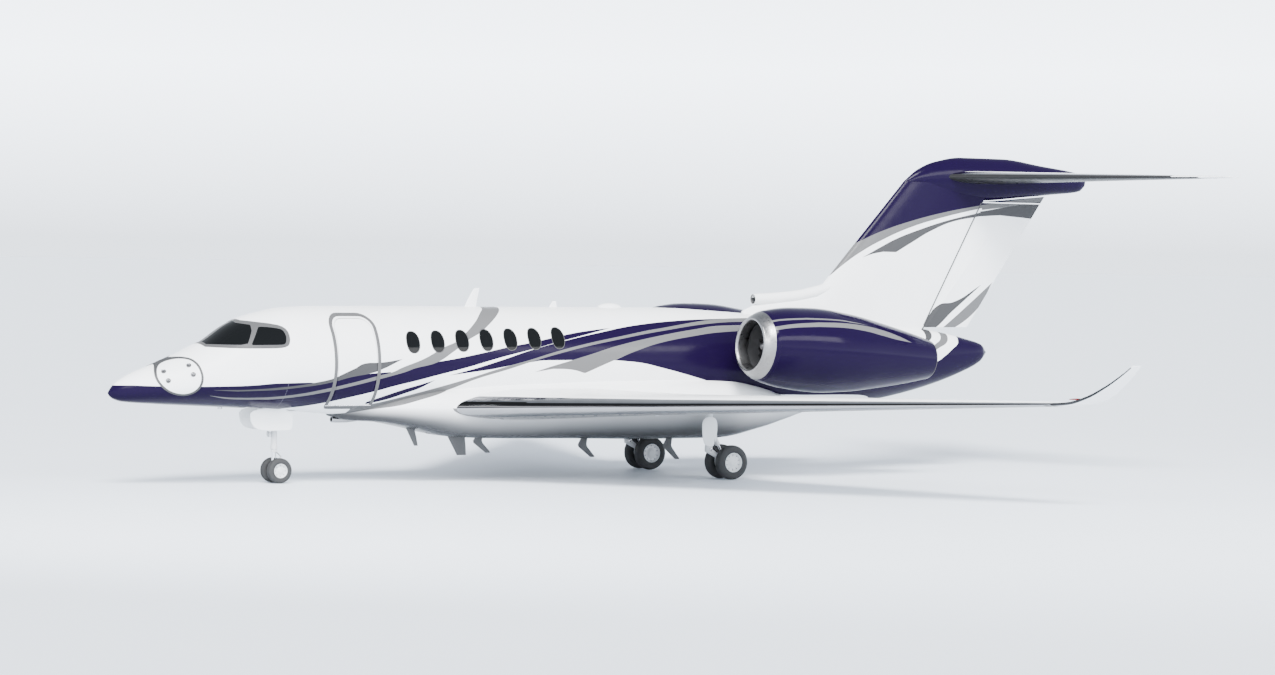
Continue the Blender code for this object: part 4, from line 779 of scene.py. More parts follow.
trim = hull_shell("door_trim", spaced(3.9, 5.1, 12), -0.0015, 0.002)
carve(trim, prism(door_outline(0.078), -CLEAR, DOOR_INSIDE), "INTERSECT")
carve(trim, prism(door_outline(0.012), -CLEAR, DOOR_INSIDE))
trim.data.materials.clear()
trim.data.materials.append(paint("trim_paint", (0.085, 0.085, 0.087), roughness=0.28))
settle(follow(trim, hull_normal), "gear_metal")

# %% Cabin windows
pane_xs = [5.3, 6.3, 7.3, 8.3, 9.3]
for hand, y0, y1 in (("left", -CLEAR, -0.6), ("right", 0.6, CLEAR)):
    panes = hull_shell("window_glass_" + hand, pane_xs, 0.005, 0.016, dark_glass)
    carve(panes, window_tool(-0.012, y0, y1), "INTERSECT")
    settle(follow(panes, hull_normal), "dark_glass", "cabin_windows_" + hand)
    seals = hull_shell("window_seals_" + hand, pane_xs, 0.0015, 0.03, seal_rubber)
    carve(seals, window_tool(-0.0005, y0, y1), "INTERSECT")
    carve(seals, window_tool(-0.013, y0, y1))
    settle(follow(seals, hull_normal), "rubber")

# %% Cockpit glass
cockpit_xs = spaced(1.6, 3.3, 26)
surround = hull_shell("cockpit_surround", cockpit_xs, -0.0012, 0.035, frame_paint)
carve(surround, prism(SURROUND, -CLEAR, CLEAR), "INTERSECT")
carve(surround, pane_tool())
settle(follow(surround, hull_normal), "dark_metal")
glass = hull_shell("cockpit_glass", cockpit_xs, 0.003, 0.020, dark_glass)
carve(glass, pane_tool(0.001), "INTERSECT")
settle(follow(glass, hull_normal), "dark_glass", "windshield")

# %% [markdown]
# ## Belly fairing
# A fairing under the cabin covers the joint of the wing and the body and holds the gear. Its rings are
# squarer than an ellipse, which a power of a circle's sine and cosine gives. Where it meets the body it
# is cut by the body's own rings, so the seam lies on the skin. Towards its foot the paint darkens into
# a painted shade.

# %% Belly
BELLY_FRONT, BELLY_END = 4.45, 14.9
SEAM = 0.0005
BELLY_BOTTOM = curve([(BELLY_FRONT, -1.02), (4.73, -1.093), (5.28, -1.125), (6.0, -1.25), (6.92, -1.43),
                      (7.78, -1.463), (9.4, -1.488), (11.2, -1.523), (12.6, -1.523), (13.55, -1.355),
                      (14.26, -1.20), (BELLY_END, -1.06)])
BELLY_WIDTH = curve([(BELLY_FRONT, 0.22), (5.0, 0.60), (5.6, 0.95), (6.4, 1.24), (7.5, 1.31), (9.0, 1.33),
                     (12.6, 1.33), (13.5, 1.15), (14.26, 0.72), (BELLY_END, 0.28)])
BELLY_WAIST = curve([(BELLY_FRONT, -0.92), (6.4, -0.86), (9.0, -0.84), (12.6, -0.84), (BELLY_END, -0.92)])
BELLY_RISE = curve([(BELLY_FRONT, 0.08), (5.0, 0.18), (6.4, 0.42), (8.0, 0.52), (11.4, 0.60), (12.6, 0.56),
                    (14.26, 0.25), (BELLY_END, 0.10)])


def belly_reach(x, above):
    return BELLY_RISE(x) if above else BELLY_WAIST(x) - BELLY_BOTTOM(x)


def belly_ring(x):
    return [(x, BELLY_WIDTH(x) * squarer(c, 2 / 3), BELLY_WAIST(x) + belly_reach(x, s > 0) * squarer(s, 2 / 3))
            for c, s in turn(96)]


def belly_normal(p):
    """The fairing's outward normal near its skin."""
    x, y, z = p.x + MID_X, p.y, p.z - CENTRE_HEIGHT

    def level(x, y, z):
        height = belly_reach(x, z > BELLY_WAIST(x))
        return abs(y / BELLY_WIDTH(x)) ** 3 + abs((z - BELLY_WAIST(x)) / height) ** 3

    e = 0.004
    slope = Vector((level(x + e, y, z) - level(x - e, y, z), level(x, y + e, z) - level(x, y - e, z),
                    level(x, y, z + e) - level(x, y, z - e)))
    return slope.normalized() if slope.length > 1e-9 else Vector((0, 0, -1))


# The lower line where the painted shade of the belly is full.
BELLY_SHADE_LINE = [(4.40, -0.98), (5.30, -1.08), (6.0, -1.22), (7.0, -1.42), (8.0, -1.48), (BELLY_END, -1.50)]
belly_paint_and_shade = paint("belly_paint_and_shade", WHITE,
                    [(NAVY, SLIVER_UPPER, SLIVER_LOWER), (SILVER, LOW_RIBBON_UPPER, LOW_RIBBON_LOWER)],
                    fade=((0.042, 0.042, 0.044), -0.82, BELLY_SHADE_LINE))
belly = loft("belly_skin", [belly_ring(x) for x in spaced(BELLY_FRONT, BELLY_END, 60)], belly_paint_and_shade)
carve(belly, loft("tool", [hull_ring(x, SEAM, 96) for x in spaced(3.9, 15.4, 40)]))
settle(follow(belly, belly_normal, 0.6), "white_paint", "belly_fairing")

# %% [markdown]
# ## Lifting surfaces
# Wings, fin and tailplane share one kind of section: round at the front, thickest a third of the way
# back, sharp behind. A wing is a row of such sections. Where a flap or a rudder turns, the section ends
# in a hollow. The solid model has few points round the nose of each section, so these skins use more.

# %% Sections
HOLLOW_ANGLE = math.radians(20)
SKIN_OVERLAP = 0.02


def thickness(u):
    """Half thickness at chord share u of a section of unit chord and unit thickness ratio."""
    t = 0.2969 * math.sqrt(u) - 0.1260 * u - 0.3516 * u ** 2 + 0.2843 * u ** 3 - 0.1015 * u ** 4
    return max(5.0 * t, 0.02 * u)


class Plan:
    """A lifting surface: its front and back edges, its height and its thickness."""

    def __init__(self, front, back, level, ratio, upright=False, side=1, camber=0.0):
        self.front, self.back, self.level = front, back, level
        self.ratio, self.upright, self.side, self.camber = ratio, upright, side, camber

    def chord(self, s):
        return self.back(s) - self.front(s)

    def along(self, s, share):
        """The station at a share of the chord."""
        return self.front(s) + share * self.chord(s)

    def point(self, s, x, offset):
        if self.upright:
            return (x, offset, s)
        u = (x - self.front(s)) / self.chord(s)
        return (x, self.side * s, self.level(s) + 4 * self.camber * self.chord(s) * u * (1 - u) + offset)

    def half(self, s, x):
        u = (x - self.front(s)) / self.chord(s)
        return self.chord(s) * self.ratio(s) * thickness(min(max(u, 0.0), 1.0))

    def forward(self, s, x_end, steps=14, lift=0.0):
        """Skin points from x_end on the upper side round the front to x_end below."""
        points = []
        for k in range(-steps, steps + 1):
            x = self.front(s) + (x_end - self.front(s)) * (1 - math.cos(math.pi / 2 * abs(k) / steps))
            grow = math.copysign(self.half(s, x) + (lift if k else 0.0), -k) if k else 0.0
            points.append(self.point(s, x - (lift if k == 0 else 0.0), grow))
        return points

    def full(self, s, x_end):
        """A whole section, with as many points as one with a hollow."""
        edge = self.back(s)
        mid, near = (x_end + edge) / 2, x_end + 0.9 * (edge - x_end)
        points = self.forward(s, x_end)
        points += [self.point(s, x, -self.half(s, x)) for x in (mid, near, edge)]
        points.append(self.point(s, edge + 0.002, 0.0))
        return points + [self.point(s, x, self.half(s, x)) for x in (edge, near, mid)]

    def hollow_radius(self, s, hinge_x):
        """A little more than the half thickness, so that the moving part turns free."""
        return self.half(s, hinge_x) * 1.04 + 0.006

    def skin_end(self, s, hinge_x, slant):
        """Where the fixed skin ends in front of the hollow."""
        return hinge_x - self.hollow_radius(s, hinge_x) * math.sin(HOLLOW_ANGLE) / slant - SKIN_OVERLAP

    def hollow(self, s, hinge_x, slant):
        """A section that ends in a hollow round the nose of the moving part."""
        radius = self.hollow_radius(s, hinge_x)
        points = self.forward(s, self.skin_end(s, hinge_x, slant))
        x, y, z = self.point(s, hinge_x, 0.0)
        for angle in spaced(math.pi - HOLLOW_ANGLE, HOLLOW_ANGLE, 6):
            dx, dz = -radius * math.sin(angle) / slant, radius * math.cos(angle)
            points.append((x + dx, dz, s) if self.upright else (x + dx, y, z + dz))
        return points


def slant_of(plan, hinge, s0, s1):
    """How square the hinge line stands to the sections."""
    a, b = Vector(plan.point(s0, hinge(s0), 0.0)), Vector(plan.point(s1, hinge(s1), 0.0))
    axis = (b - a).normalized()
    return abs(axis.z if plan.upright else axis.y)


# %% Wings
WING_FRONT = line([(1.23, 6.38), (2.0, 7.45), (9.9, 13.67)])
WING_BACK = line([(1.23, 12.90), (3.4, 12.45), (9.9, 14.57)])
WING_LEVEL = line([(1.23, -0.83), (9.9, -0.42)])
WING_RATIO = line([(1.23, 0.090), (3.4, 0.100), (9.9, 0.095)])
MOVING_PARTS = ((2.05, 3.34, 0.80), (3.46, 6.88, 0.75), (6.98, 9.50, 0.75))
TIP_START = 9.95
EDGE_STEPS, PROUD = 12, 0.001
TIP_ROWS = [(9.9, 13.67, 14.57, -0.42, 3), (10.16, 13.88, 14.66, -0.385, 12), (10.40, 14.13, 14.74, -0.27, 30),
            (10.62, 14.40, 14.83, -0.07, 48), (10.80, 14.62, 14.91, 0.14, 58), (10.92, 14.76, 14.97, 0.30, 62)]
TIP_LINES = [curve([(row[0], row[k]) for row in TIP_ROWS]) for k in (1, 2, 3, 4)]


def tip_section(y, side, maker):
    """A section of the upturned tip, leaned over by its cant."""
    front, back, level, cant = (edge(y) for edge in TIP_LINES)
    plan = Plan(lambda s: front, lambda s: back, lambda s: 0.0, lambda s: 0.085)
    tilt = math.radians(cant)
    return [(x, side * (y - offset * math.sin(tilt)), level + offset * math.cos(tilt))
            for x, _, offset in maker(plan)]


def wing_skin(side, hand):
    plan = Plan(WING_FRONT, WING_BACK, WING_LEVEL, WING_RATIO, side=side, camber=0.012)
    rings = [plan.full(s, plan.along(s, 0.70)) for s in (1.15, 1.6, 2.0)]
    for s0, s1, share in MOVING_PARTS:
        hinge = lambda s: plan.along(s, share)
        slant = slant_of(plan, hinge, s0, s1)
        cuts = [(plan.full(s, plan.skin_end(s, hinge(s), slant)), plan.hollow(s, hinge(s), slant))
                for s in (s0, s1)]
        rings += [cuts[0][0], cuts[0][1], cuts[1][1], cuts[1][0]]
    rings.append(plan.full(9.75, plan.along(9.75, 0.70)))
    rings += [tip_section(y, side, lambda p: p.full(0.0, p.along(0.0, 0.70))) for y in spaced(9.9, 10.92, 16)]
    # Faces that look down, except on the upturned tip, get a painted shade in darker grey.
    wing = tint(loft("wing_skin_" + hand, rings, white_paint, sharp=28), underside_shade_paint,
                lambda face: face.normal.z < -0.25 and abs(face.center.y) < TIP_START)
    settle(wing, "white_paint", "wing_" + hand)
    return plan


def edge_strip(name, plan, spans, share, finish, low, high, tips=()):
    """The polished strip round a leading edge, a millimetre proud of the paint.

    Its faces that look up by low to high, and those of the tip, get a darker finish: a painted reflection on the wing
    and a painted shade on the tailplane."""
    rings = [plan.forward(s, plan.along(s, share), EDGE_STEPS, PROUD) for s in spans] + list(tips)
    strip = tint(loft(name, rings, polished, sharp=60), finish,
                 lambda face: low < face.normal.z < high or abs(face.center.y) > TIP_START)
    settle(strip, "bare_metal")


for side, hand in HANDS:
    plan = wing_skin(side, hand)
    tips = [tip_section(y, side, lambda p: p.forward(0.0, p.along(0.0, 0.10), EDGE_STEPS, PROUD))
            for y in spaced(TIP_START, 10.90, 14)]
    # The strip's upper faces and the winglet's edge get the painted reflection.
    edge_strip("wing_edge_" + hand, plan, (1.28, 2.0, 4.0, 6.0, 8.0, 9.8), 0.075, painted_reflection_metal, 0.12, 0.80, tips)

# %% [markdown]
# ## Fin, tailplane and bullet
# The tailplane stands on top of the fin, inside a long bullet fairing. A ram air tube runs along the
# foot of the fin. The fin carries the same ribbons as the body, so it has a paint with edges of its own.

# %% Fin paint
FIN_BLUE = ([(15.6, 4.4), (21.6, 4.4)],
            [(15.6, 2.05), (16.25, 2.38), (16.767, 2.616), (17.524, 2.861), (18.411, 3.067), (19.384, 3.233),
             (20.9, 3.42), (21.6, 3.46)])
FIN_SILVER = ([(15.6, 2.10), (16.25, 2.40), (16.767, 2.63), (17.524, 2.87), (18.411, 3.075), (19.384, 3.24)],
              [(15.6, 1.70), (15.993, 2.004), (16.341, 2.226), (16.76, 2.442), (17.525, 2.745),
               (18.415, 2.98), (19.384, 3.178)])
FIN_SLATE = ([(16.352, 2.106), (16.754, 2.312), (17.175, 2.507), (17.704, 2.689), (18.419, 2.892),
              (19.32, 3.082)],
             [(16.352, 2.104), (16.584, 2.179), (16.831, 2.226), (17.153, 2.223), (17.53, 2.424),
              (18.056, 2.688), (18.606, 2.88), (19.32, 3.00)])
RUDDER_SILVER = ([(19.34, 3.236), (20.9, 3.424), (21.1, 3.436)],
                 [(19.34, 3.13), (19.914, 3.192), (21.1, 3.33)])
RUDDER_SLATE = ([(19.30, 3.10), (19.42, 3.116), (19.918, 3.192), (20.85, 3.32), (21.1, 3.35)],
                [(19.30, 2.996), (19.832, 3.027), (20.71, 2.969), (21.1, 2.93)])
FLASH_SLATE = ([(17.85, 0.62), (18.339, 1.162), (18.672, 1.203), (19.422, 1.566)],
               [(17.85, 0.55), (18.10, 0.60), (18.70, 1.03), (19.422, 1.562)])
FLASH_SILVER = ([(18.28, 0.56), (18.796, 0.924), (19.094, 1.144), (19.736, 1.626)],
                [(18.28, 0.50), (18.50, 0.56), (19.39, 1.09), (19.736, 1.624)])
fin_paint = paint("fin_paint", WHITE, [(NAVY, *FIN_BLUE), (SILVER, *FIN_SILVER), (SLATE, *FIN_SLATE),
                                       (SILVER, *RUDDER_SILVER), (SLATE, *RUDDER_SLATE),
                                       (SLATE, *FLASH_SLATE), (SILVER, *FLASH_SILVER)])

# %% Fin
FIN_PLAN = Plan(line([(0.4, 14.40), (1.80, 15.70), (3.70, 17.45)]), line([(0.0, 18.62), (3.46, 21.066)]), None,
                line([(0.4, 0.085), (3.6, 0.090)]), upright=True)
LINE_WIDTH, LINE_UNDER, LINE_OVER = 0.036, -0.002, 0.0018
TUBE_BORE_END, TUBE_MIDDLE, TUBE_INSIDE = 14.7, 1.2365, 0.094
FIN_HINGE = line([(0.642, 17.962), (3.004, 19.26)])
slant = slant_of(FIN_PLAN, FIN_HINGE, 0.66, 3.30)
fin = loft("fin_skin", [FIN_PLAN.hollow(s, FIN_HINGE(s), slant) for s in (0.45, 1.2, 1.8, 2.8, 3.68)], fin_paint)


def oval_ring(x, middle, half_height, half_width, sides=40):
    return [(x, half_width * c, middle + half_height * s) for c, s in turn(sides, 0.0)]


def fair_rings(rows, count):
    """Smooth rings through rows of station, middle, half height and half width."""
    lines = [curve([(row[0], row[k]) for row in rows]) for k in (1, 2, 3)]
    return [oval_ring(x, *(edge(x) for edge in lines)) for x in spaced(rows[0][0], rows[-1][0], count)]


foot = loft("foot", fair_rings([(13.55, 0.75, 0.25, 0.06), (13.9, 0.82, 0.32, 0.12), (14.7, 0.875, 0.375, 0.17),
                                (15.6, 0.925, 0.425, 0.17), (16.6, 0.85, 0.35, 0.10)], 24), white_paint)
tube_rows = [(13.80, 1.235, 0.105, 0.105), (13.9, 1.235, 0.115, 0.115), (14.7, 1.285, 0.12, 0.12),
             (15.5, 1.45, 0.11, 0.11), (16.2, 1.7, 0.06, 0.06)]
bore = [oval_ring(x, z, r, r) for x, z, r in ((14.6, 1.28, 0.085), (13.82, 1.237, 0.088), (13.80, 1.235, 0.098))]
# The tube's bore takes the dark liner: a painted shade in its mouth.
tube = tint(loft("tube", bore + fair_rings(tube_rows, 24), white_paint), liner_and_bore_shade,
            lambda face: face.center.x + MID_X < TUBE_BORE_END
            and math.hypot(face.center.y, face.center.z - CENTRE_HEIGHT - TUBE_MIDDLE) < TUBE_INSIDE)
line_parts = []
for out in (-1, 1):
    rings = []
    for s in spaced(0.72, 3.28, 12):
        end = FIN_PLAN.skin_end(s, FIN_HINGE(s), slant)
        corners = ((end - LINE_WIDTH, LINE_UNDER), (end - LINE_WIDTH, LINE_OVER), (end, LINE_OVER), (end, LINE_UNDER))
        rings.append([FIN_PLAN.point(s, x, out * (FIN_PLAN.half(s, x) + lift)) for x, lift in corners])
    line_parts.append(loft("hinge_line", rings, seal_rubber))
settle(join("hinge_lines", line_parts), "rubber")
settle(join("fin_skin_whole", [fin, foot, tube]), "white_paint", "fin")

# %% Bullet and tailplane
BULLET_FRONT, BULLET_END = 17.45, 22.08
BULLET_TOP = curve([(BULLET_FRONT, 3.70), (17.79, 3.948), (18.2, 4.11), (18.85, 4.213), (19.9, 4.21),
                    (20.93, 4.09), (21.86, 3.965), (BULLET_END, 3.90)])
BULLET_BOTTOM = curve([(BULLET_FRONT, 3.60), (18.2, 3.42), (19.39, 3.33), (20.42, 3.41), (21.2, 3.484),
                       (21.95, 3.563), (BULLET_END, 3.66)])
BULLET_WIDTH = curve([(BULLET_FRONT, 0.03), (17.79, 0.12), (18.2, 0.19), (18.85, 0.25), (19.9, 0.27),
                      (20.93, 0.24), (21.86, 0.14), (BULLET_END, 0.07)])
rings = [oval_ring(x, (BULLET_TOP(x) + BULLET_BOTTOM(x)) / 2, (BULLET_TOP(x) - BULLET_BOTTOM(x)) / 2,
                   BULLET_WIDTH(x), 56) for x in spaced(BULLET_FRONT, BULLET_END, 48)]
settle(loft("bullet_skin", rings, navy_paint), "blue_paint", "tail_bullet")

STAB_END, STAB_TOP = 4.94, 3.84
STAB_FRONT, STAB_BACK = line([(0.0, 18.27), (STAB_END, 21.78)]), line([(0.0, 21.18), (STAB_END, 22.268)])
STAB_LEVEL, STAB_RATIO = line([(0.0, 3.80), (STAB_END, STAB_TOP)]), line([(0.0, 0.095), (STAB_END, 0.085)])
STAB_HINGE = line([(0.36, 20.46), (4.50, 21.98)])
WHITE_TIP = 4.35


for side, hand in HANDS:
    plan = Plan(STAB_FRONT, STAB_BACK, STAB_LEVEL, STAB_RATIO, side=side)
    slant = slant_of(plan, STAB_HINGE, 0.36, 4.50)
    whole = lambda s: plan.full(s, plan.skin_end(s, STAB_HINGE(s), slant))
    rings = [plan.hollow(s, STAB_HINGE(s), slant) for s in (0.10, 1.5, 3.0, 4.50)]
    rings += [whole(s) for s in (4.50, 4.7, 4.85)]
    rings += [[(x, y, STAB_TOP + (z - STAB_TOP) * keep) for x, y, z in whole(s)]
              for s, keep in ((4.90, 0.85), (4.93, 0.6), (STAB_END, 0.35))]
    # Faces that look down, except at the white tip, get a near-black painted shade.
    skin = tint(loft("stabiliser_skin_" + hand, rings, white_paint, sharp=28), tail_shade_paint,
                lambda face: face.normal.z < 0.0 and abs(face.center.y) <= WHITE_TIP)
    settle(skin, "white_paint", "stabiliser_" + hand)
    # Nearly the whole leading-edge strip gets the same painted shade; only its top stays polished.
    edge_strip("stabiliser_edge_" + hand, plan, (0.15, 1.4, 2.7, 4.05), 0.12, tail_shade_paint, -2.0, 0.9)

# %% [markdown]
# ## Engines
# Each engine hangs in a cowl of revolution that is tilted by four degrees. The cowl, its bare inlet lip
# and its duct come from one outer and one inner line. The fan turns, so it rides on a body of its own.

# %% Cowls
ENGINE_TILT = math.radians(4.0)
ENGINE_X, ENGINE_Y, ENGINE_Z = 12.47, 1.99, 0.38
COWL_OUTER = curve([(0.0, 0.50), (0.03, 0.545), (0.12, 0.62), (0.30, 0.70), (0.85, 0.795), (1.5, 0.825),
                    (2.2, 0.775), (3.05, 0.64), (3.7, 0.51), (4.22, 0.385)])
COWL_INNER = curve([(0.0, 0.50), (0.03, 0.475), (0.20, 0.465), (0.38, 0.50), (0.60, 0.50), (1.4, 0.50),
                    (2.6, 0.52), (3.4, 0.46), (4.22, 0.37)])
LIP_END, COWL_END = 0.28, 4.2


def engine_place(point, side):
    """From the engine's own axis to the aircraft's stations."""
    s, y, z = point
    c, n = math.cos(ENGINE_TILT), math.sin(ENGINE_TILT)
    return (ENGINE_X + s * c + z * n, side * ENGINE_Y + y, ENGINE_Z - s * n + z * c)


def engine_gauge(side):
    """A measure of a face: how far its middle lies along the engine's axis, and how far from it."""
    start, later = (place(engine_place((s, 0, 0), side)) for s in (0, 1))

    def gauge(face):
        spot = face.center - start
        s = spot.dot(later - start)
        return s, (spot - (later - start) * s).length

    return gauge


def turned(rows, side, sides=80):
    """Rings round the engine's axis from rows of distance and radius."""
    return [[engine_place((s, r * c, r * n), side) for c, n in turn(sides)] for s, r in rows]


RIM_PAINT_AT, RIM_PAINT_RADIUS = 0.205, 0.58
NOZZLE_START, NOZZLE_RIM = 2.4, 4.207
COWL_STRIPES = [
    (SILVER, [(12.60, 0.85), (12.956, 0.901), (13.46, 0.922), (14.083, 0.898), (14.551, 0.843), (14.9, 0.78)],
     [(12.60, 0.82), (12.956, 0.872), (13.43, 0.892), (14.05, 0.875), (14.535, 0.828), (14.9, 0.779)]),
    (SILVER, [(12.60, 0.735), (13.141, 0.808), (13.673, 0.836), (14.232, 0.825), (14.764, 0.776),
              (15.259, 0.685), (15.681, 0.561), (15.983, 0.44)],
     [(12.60, 0.67), (13.114, 0.735), (13.631, 0.752), (14.175, 0.738), (14.693, 0.682), (15.187, 0.583),
      (15.585, 0.499), (15.983, 0.438)])]
cowl_paint = paint("cowl_paint", NAVY, COWL_STRIPES, roughness=0.14)


def blue_rim(gauge):
    """A test for the faces of the lip that the cowl's paint reaches."""
    return lambda face: gauge(face)[0] > RIM_PAINT_AT and gauge(face)[1] > RIM_PAINT_RADIUS


def duct(gauge, low, high):
    """A test for the faces inside the cowl between two distances from its front."""
    def inside(face):
        s, radius = gauge(face)
        return low < s <= high and (radius < COWL_OUTER(s) - 0.012 or s > NOZZLE_RIM)

    return inside


for side, hand in HANDS:
    gauge = engine_gauge(side)
    outer = [(LIP_END - 0.0005, COWL_OUTER(LIP_END))] + [(s, COWL_OUTER(s)) for s in spaced(0.25, 0.045, 8)]
    nose_round = [(0.03 * (1 - math.cos(a)), 0.505 + 0.04 * math.sin(a) ** 0.9)
                  for a in spaced(math.pi / 2, math.pi / 14, 6)]
    inner = [(0.0, 0.50)] + [(s, COWL_INNER(s)) for s in spaced(0.02, LIP_END - 0.0005, 10)]
    lip = loft("lip_skin_" + hand, turned(outer + nose_round + inner, side), lip_metal, closed=True)
    settle(tint(lip, cowl_paint, blue_rim(gauge)), "bare_metal", "inlet_lip_" + hand)
    rows = [(s, COWL_OUTER(s)) for s in spaced(LIP_END, COWL_END, 44)]
    rows += [(4.218, 0.383), (4.22, 0.379), (4.216, 0.373)]
    rows += [(s, COWL_INNER(s)) for s in spaced(COWL_END, LIP_END, 30)]
    cowl = loft("cowl_skin_" + hand, turned(rows, side), cowl_paint, closed=True)
    tint(cowl, liner_and_bore_shade, duct(gauge, -1.0, NOZZLE_START))
    tint(cowl, burnt_metal, duct(gauge, NOZZLE_START, 9.0))
    settle(cowl, "blue_paint", "nacelle_" + hand)

# %% [markdown]
# ## Copies in rings
# A fan has eighteen equal blades and a wheel ten equal bolts. Copying them by hand would hide that they
# are equal. One Geometry Nodes tree does it: it turns copies of a piece round an axis, makes real mesh
# of them and sets their material. The mesh is then kept as it is.

# %% Node tree for copies
def ring_tree():
    """Copies of the piece, turned evenly round its x axis."""
    tree = bpy.data.node_groups.new("ring_of_copies", "GeometryNodeTree")
    tree.interface.new_socket("Result", in_out="OUTPUT", socket_type="NodeSocketGeometry")
    for label, kind in (("Geometry", "Geometry"), ("Count", "Int"), ("Finish", "Material")):
        tree.interface.new_socket(label, in_out="INPUT", socket_type="NodeSocket" + kind)
    start, end, spots, index, share, angle, axis, copies, real, finish = (
        tree.nodes.new(kind) for kind in (
            "NodeGroupInput", "NodeGroupOutput", "GeometryNodePoints", "GeometryNodeInputIndex", "ShaderNodeMath",
            "ShaderNodeMath", "FunctionNodeAxisAngleToRotation", "GeometryNodeInstanceOnPoints",
            "GeometryNodeRealizeInstances", "GeometryNodeSetMaterial"))
    share.operation, angle.operation = "DIVIDE", "MULTIPLY"
    angle.inputs[1].default_value = 2 * math.pi
    axis.inputs["Axis"].default_value = (1.0, 0.0, 0.0)
    for source, target in ((start.outputs["Count"], spots.inputs["Count"]), (index.outputs[0], share.inputs[0]),
                           (start.outputs["Count"], share.inputs[1]), (share.outputs[0], angle.inputs[0]),
                           (angle.outputs[0], axis.inputs["Angle"]), (spots.outputs[0], copies.inputs["Points"]),
                           (start.outputs["Geometry"], copies.inputs["Instance"]),
                           (axis.outputs[0], copies.inputs["Rotation"]), (copies.outputs[0], real.inputs[0]),
                           (real.outputs[0], finish.inputs["Geometry"]),
                           (start.outputs["Finish"], finish.inputs["Material"]),
                           (finish.outputs[0], end.inputs[0])):
        tree.links.new(source, target)
    return tree


RING = ring_tree()


def ring_of(name, rings, count, finish, where):
    """A ring of copies of one loft round its own origin, moved to its place as plain mesh."""
    made = loft(name, rings)
    made.data.transform(Matrix.Translation((MID_X, 0.0, -CENTRE_HEIGHT)))
    step = made.modifiers.new("copies", "NODES")
    step.node_group = RING
    for item in RING.interface.items_tree:
        if item.name in ("Count", "Finish"):
            step[item.identifier] = count if item.name == "Count" else finish
    mesh = evaluated(made)
    made.modifiers.remove(step)
    made.data = mesh
    mesh.transform(where)
    return made


# %% Turned pieces
DOWN = (0, 0, -1)


def spun(name, rows, centre, axis, finish, sides=48, closed=False, sharp=35):
    """A turned piece: rows of distance along the axis and radius."""
    axis, centre = Vector(axis).normalized(), Vector(centre)
    across = axis.orthogonal().normalized()
    other = axis.cross(across)
    rings = [[tuple(centre + axis * s + (across * c + other * n) * r) for c, n in turn(sides)] for s, r in rows]
    return loft(name, rings, finish, closed, sharp)


def between(name, a, b, rows, finish, sides=32):
    """A turned piece from a to b: rows of the share of the way and radius."""
    span = Vector(b) - Vector(a)
    return spun(name, [(share * span.length, r) for share, r in rows], a, span, finish, sides)


def pin(name, centre, end, thin, body, thick):
    """A steel pin across the aircraft, turned down at both ends."""
    return spun(name, [(-end, thin), (-body, thick), (body, thick), (end, thin)], centre, (0, 1, 0), steel)


# %% [markdown]
# ## Fans, cores and pylons
# A wide-chord fan blade is thick and steep at its root and thin and flat at its tip. One blade is lofted
# through seven sections and copied. Guide vanes stand still behind the fan, so they go with the core.

# %% Fans
VANE_STEPS = 6


def engine_matrix(side, s=0.0):
    c, n = math.cos(ENGINE_TILT), math.sin(ENGINE_TILT)
    spot = place(engine_place((s, 0.0, 0.0), side))
    return Matrix(((c, 0, n, spot.x), (0, 1, 0, spot.y), (-n, 0, c, spot.z), (0, 0, 0, 1)))


def vane(rows):
    """Sections of a blade that stands up along z: radius, twist, chord, thickness and lean."""
    rings = []
    for r, twist, chord, thick, lean in rows:
        t, ring = math.radians(twist), []
        for side in (1, -1):
            for k in range(VANE_STEPS + 1) if side > 0 else range(VANE_STEPS - 1, 0, -1):
                u = k / VANE_STEPS
                along = chord * (u - 0.5)
                across = 0.10 * chord * 4 * u * (1 - u) + side * thick * math.sqrt(max(u * (1 - u), 0.0))
                ring.append((along * math.cos(t) - across * math.sin(t) + lean,
                             along * math.sin(t) + across * math.cos(t), r))
        rings.append(ring)
    return rings


BLADES, FAN_AT, SPINNER_FRONT, SPINNER_BACK = 18, 0.53, 0.24, 0.60
BLADE = vane([(0.135, 20, 0.112, 0.009, 0.0), (0.20, 28, 0.122, 0.008, 0.0), (0.27, 36, 0.130, 0.007, 0.001),
              (0.34, 43, 0.136, 0.006, 0.002), (0.40, 49, 0.140, 0.005, 0.004), (0.45, 54, 0.140, 0.004, 0.008),
              (0.478, 57, 0.132, 0.003, 0.014)])
SPINNER = curve([(SPINNER_FRONT, 0.004), (0.25, 0.03), (0.27, 0.055), (0.34, 0.108), (0.44, 0.152),
                 (SPINNER_BACK, 0.170)])
blade_metal = metal("blade_metal", (0.11, 0.11, 0.115), 0.30, 70.0, (0.3, 1.0, 1.0), 0.03)
for side, hand in HANDS:
    blades = ring_of("fan_blades", BLADE, BLADES, blade_metal, engine_matrix(side, FAN_AT))
    rows = [(s, SPINNER(s)) for s in spaced(SPINNER_FRONT, SPINNER_BACK, 18)] + [(0.62, 0.16)]
    cone = loft("spinner", turned(rows, side, 56), titanium)
    settle(join("fan_skin_" + hand, [blades, cone]), "dark_metal", "fan_" + hand, body="fan_" + hand)

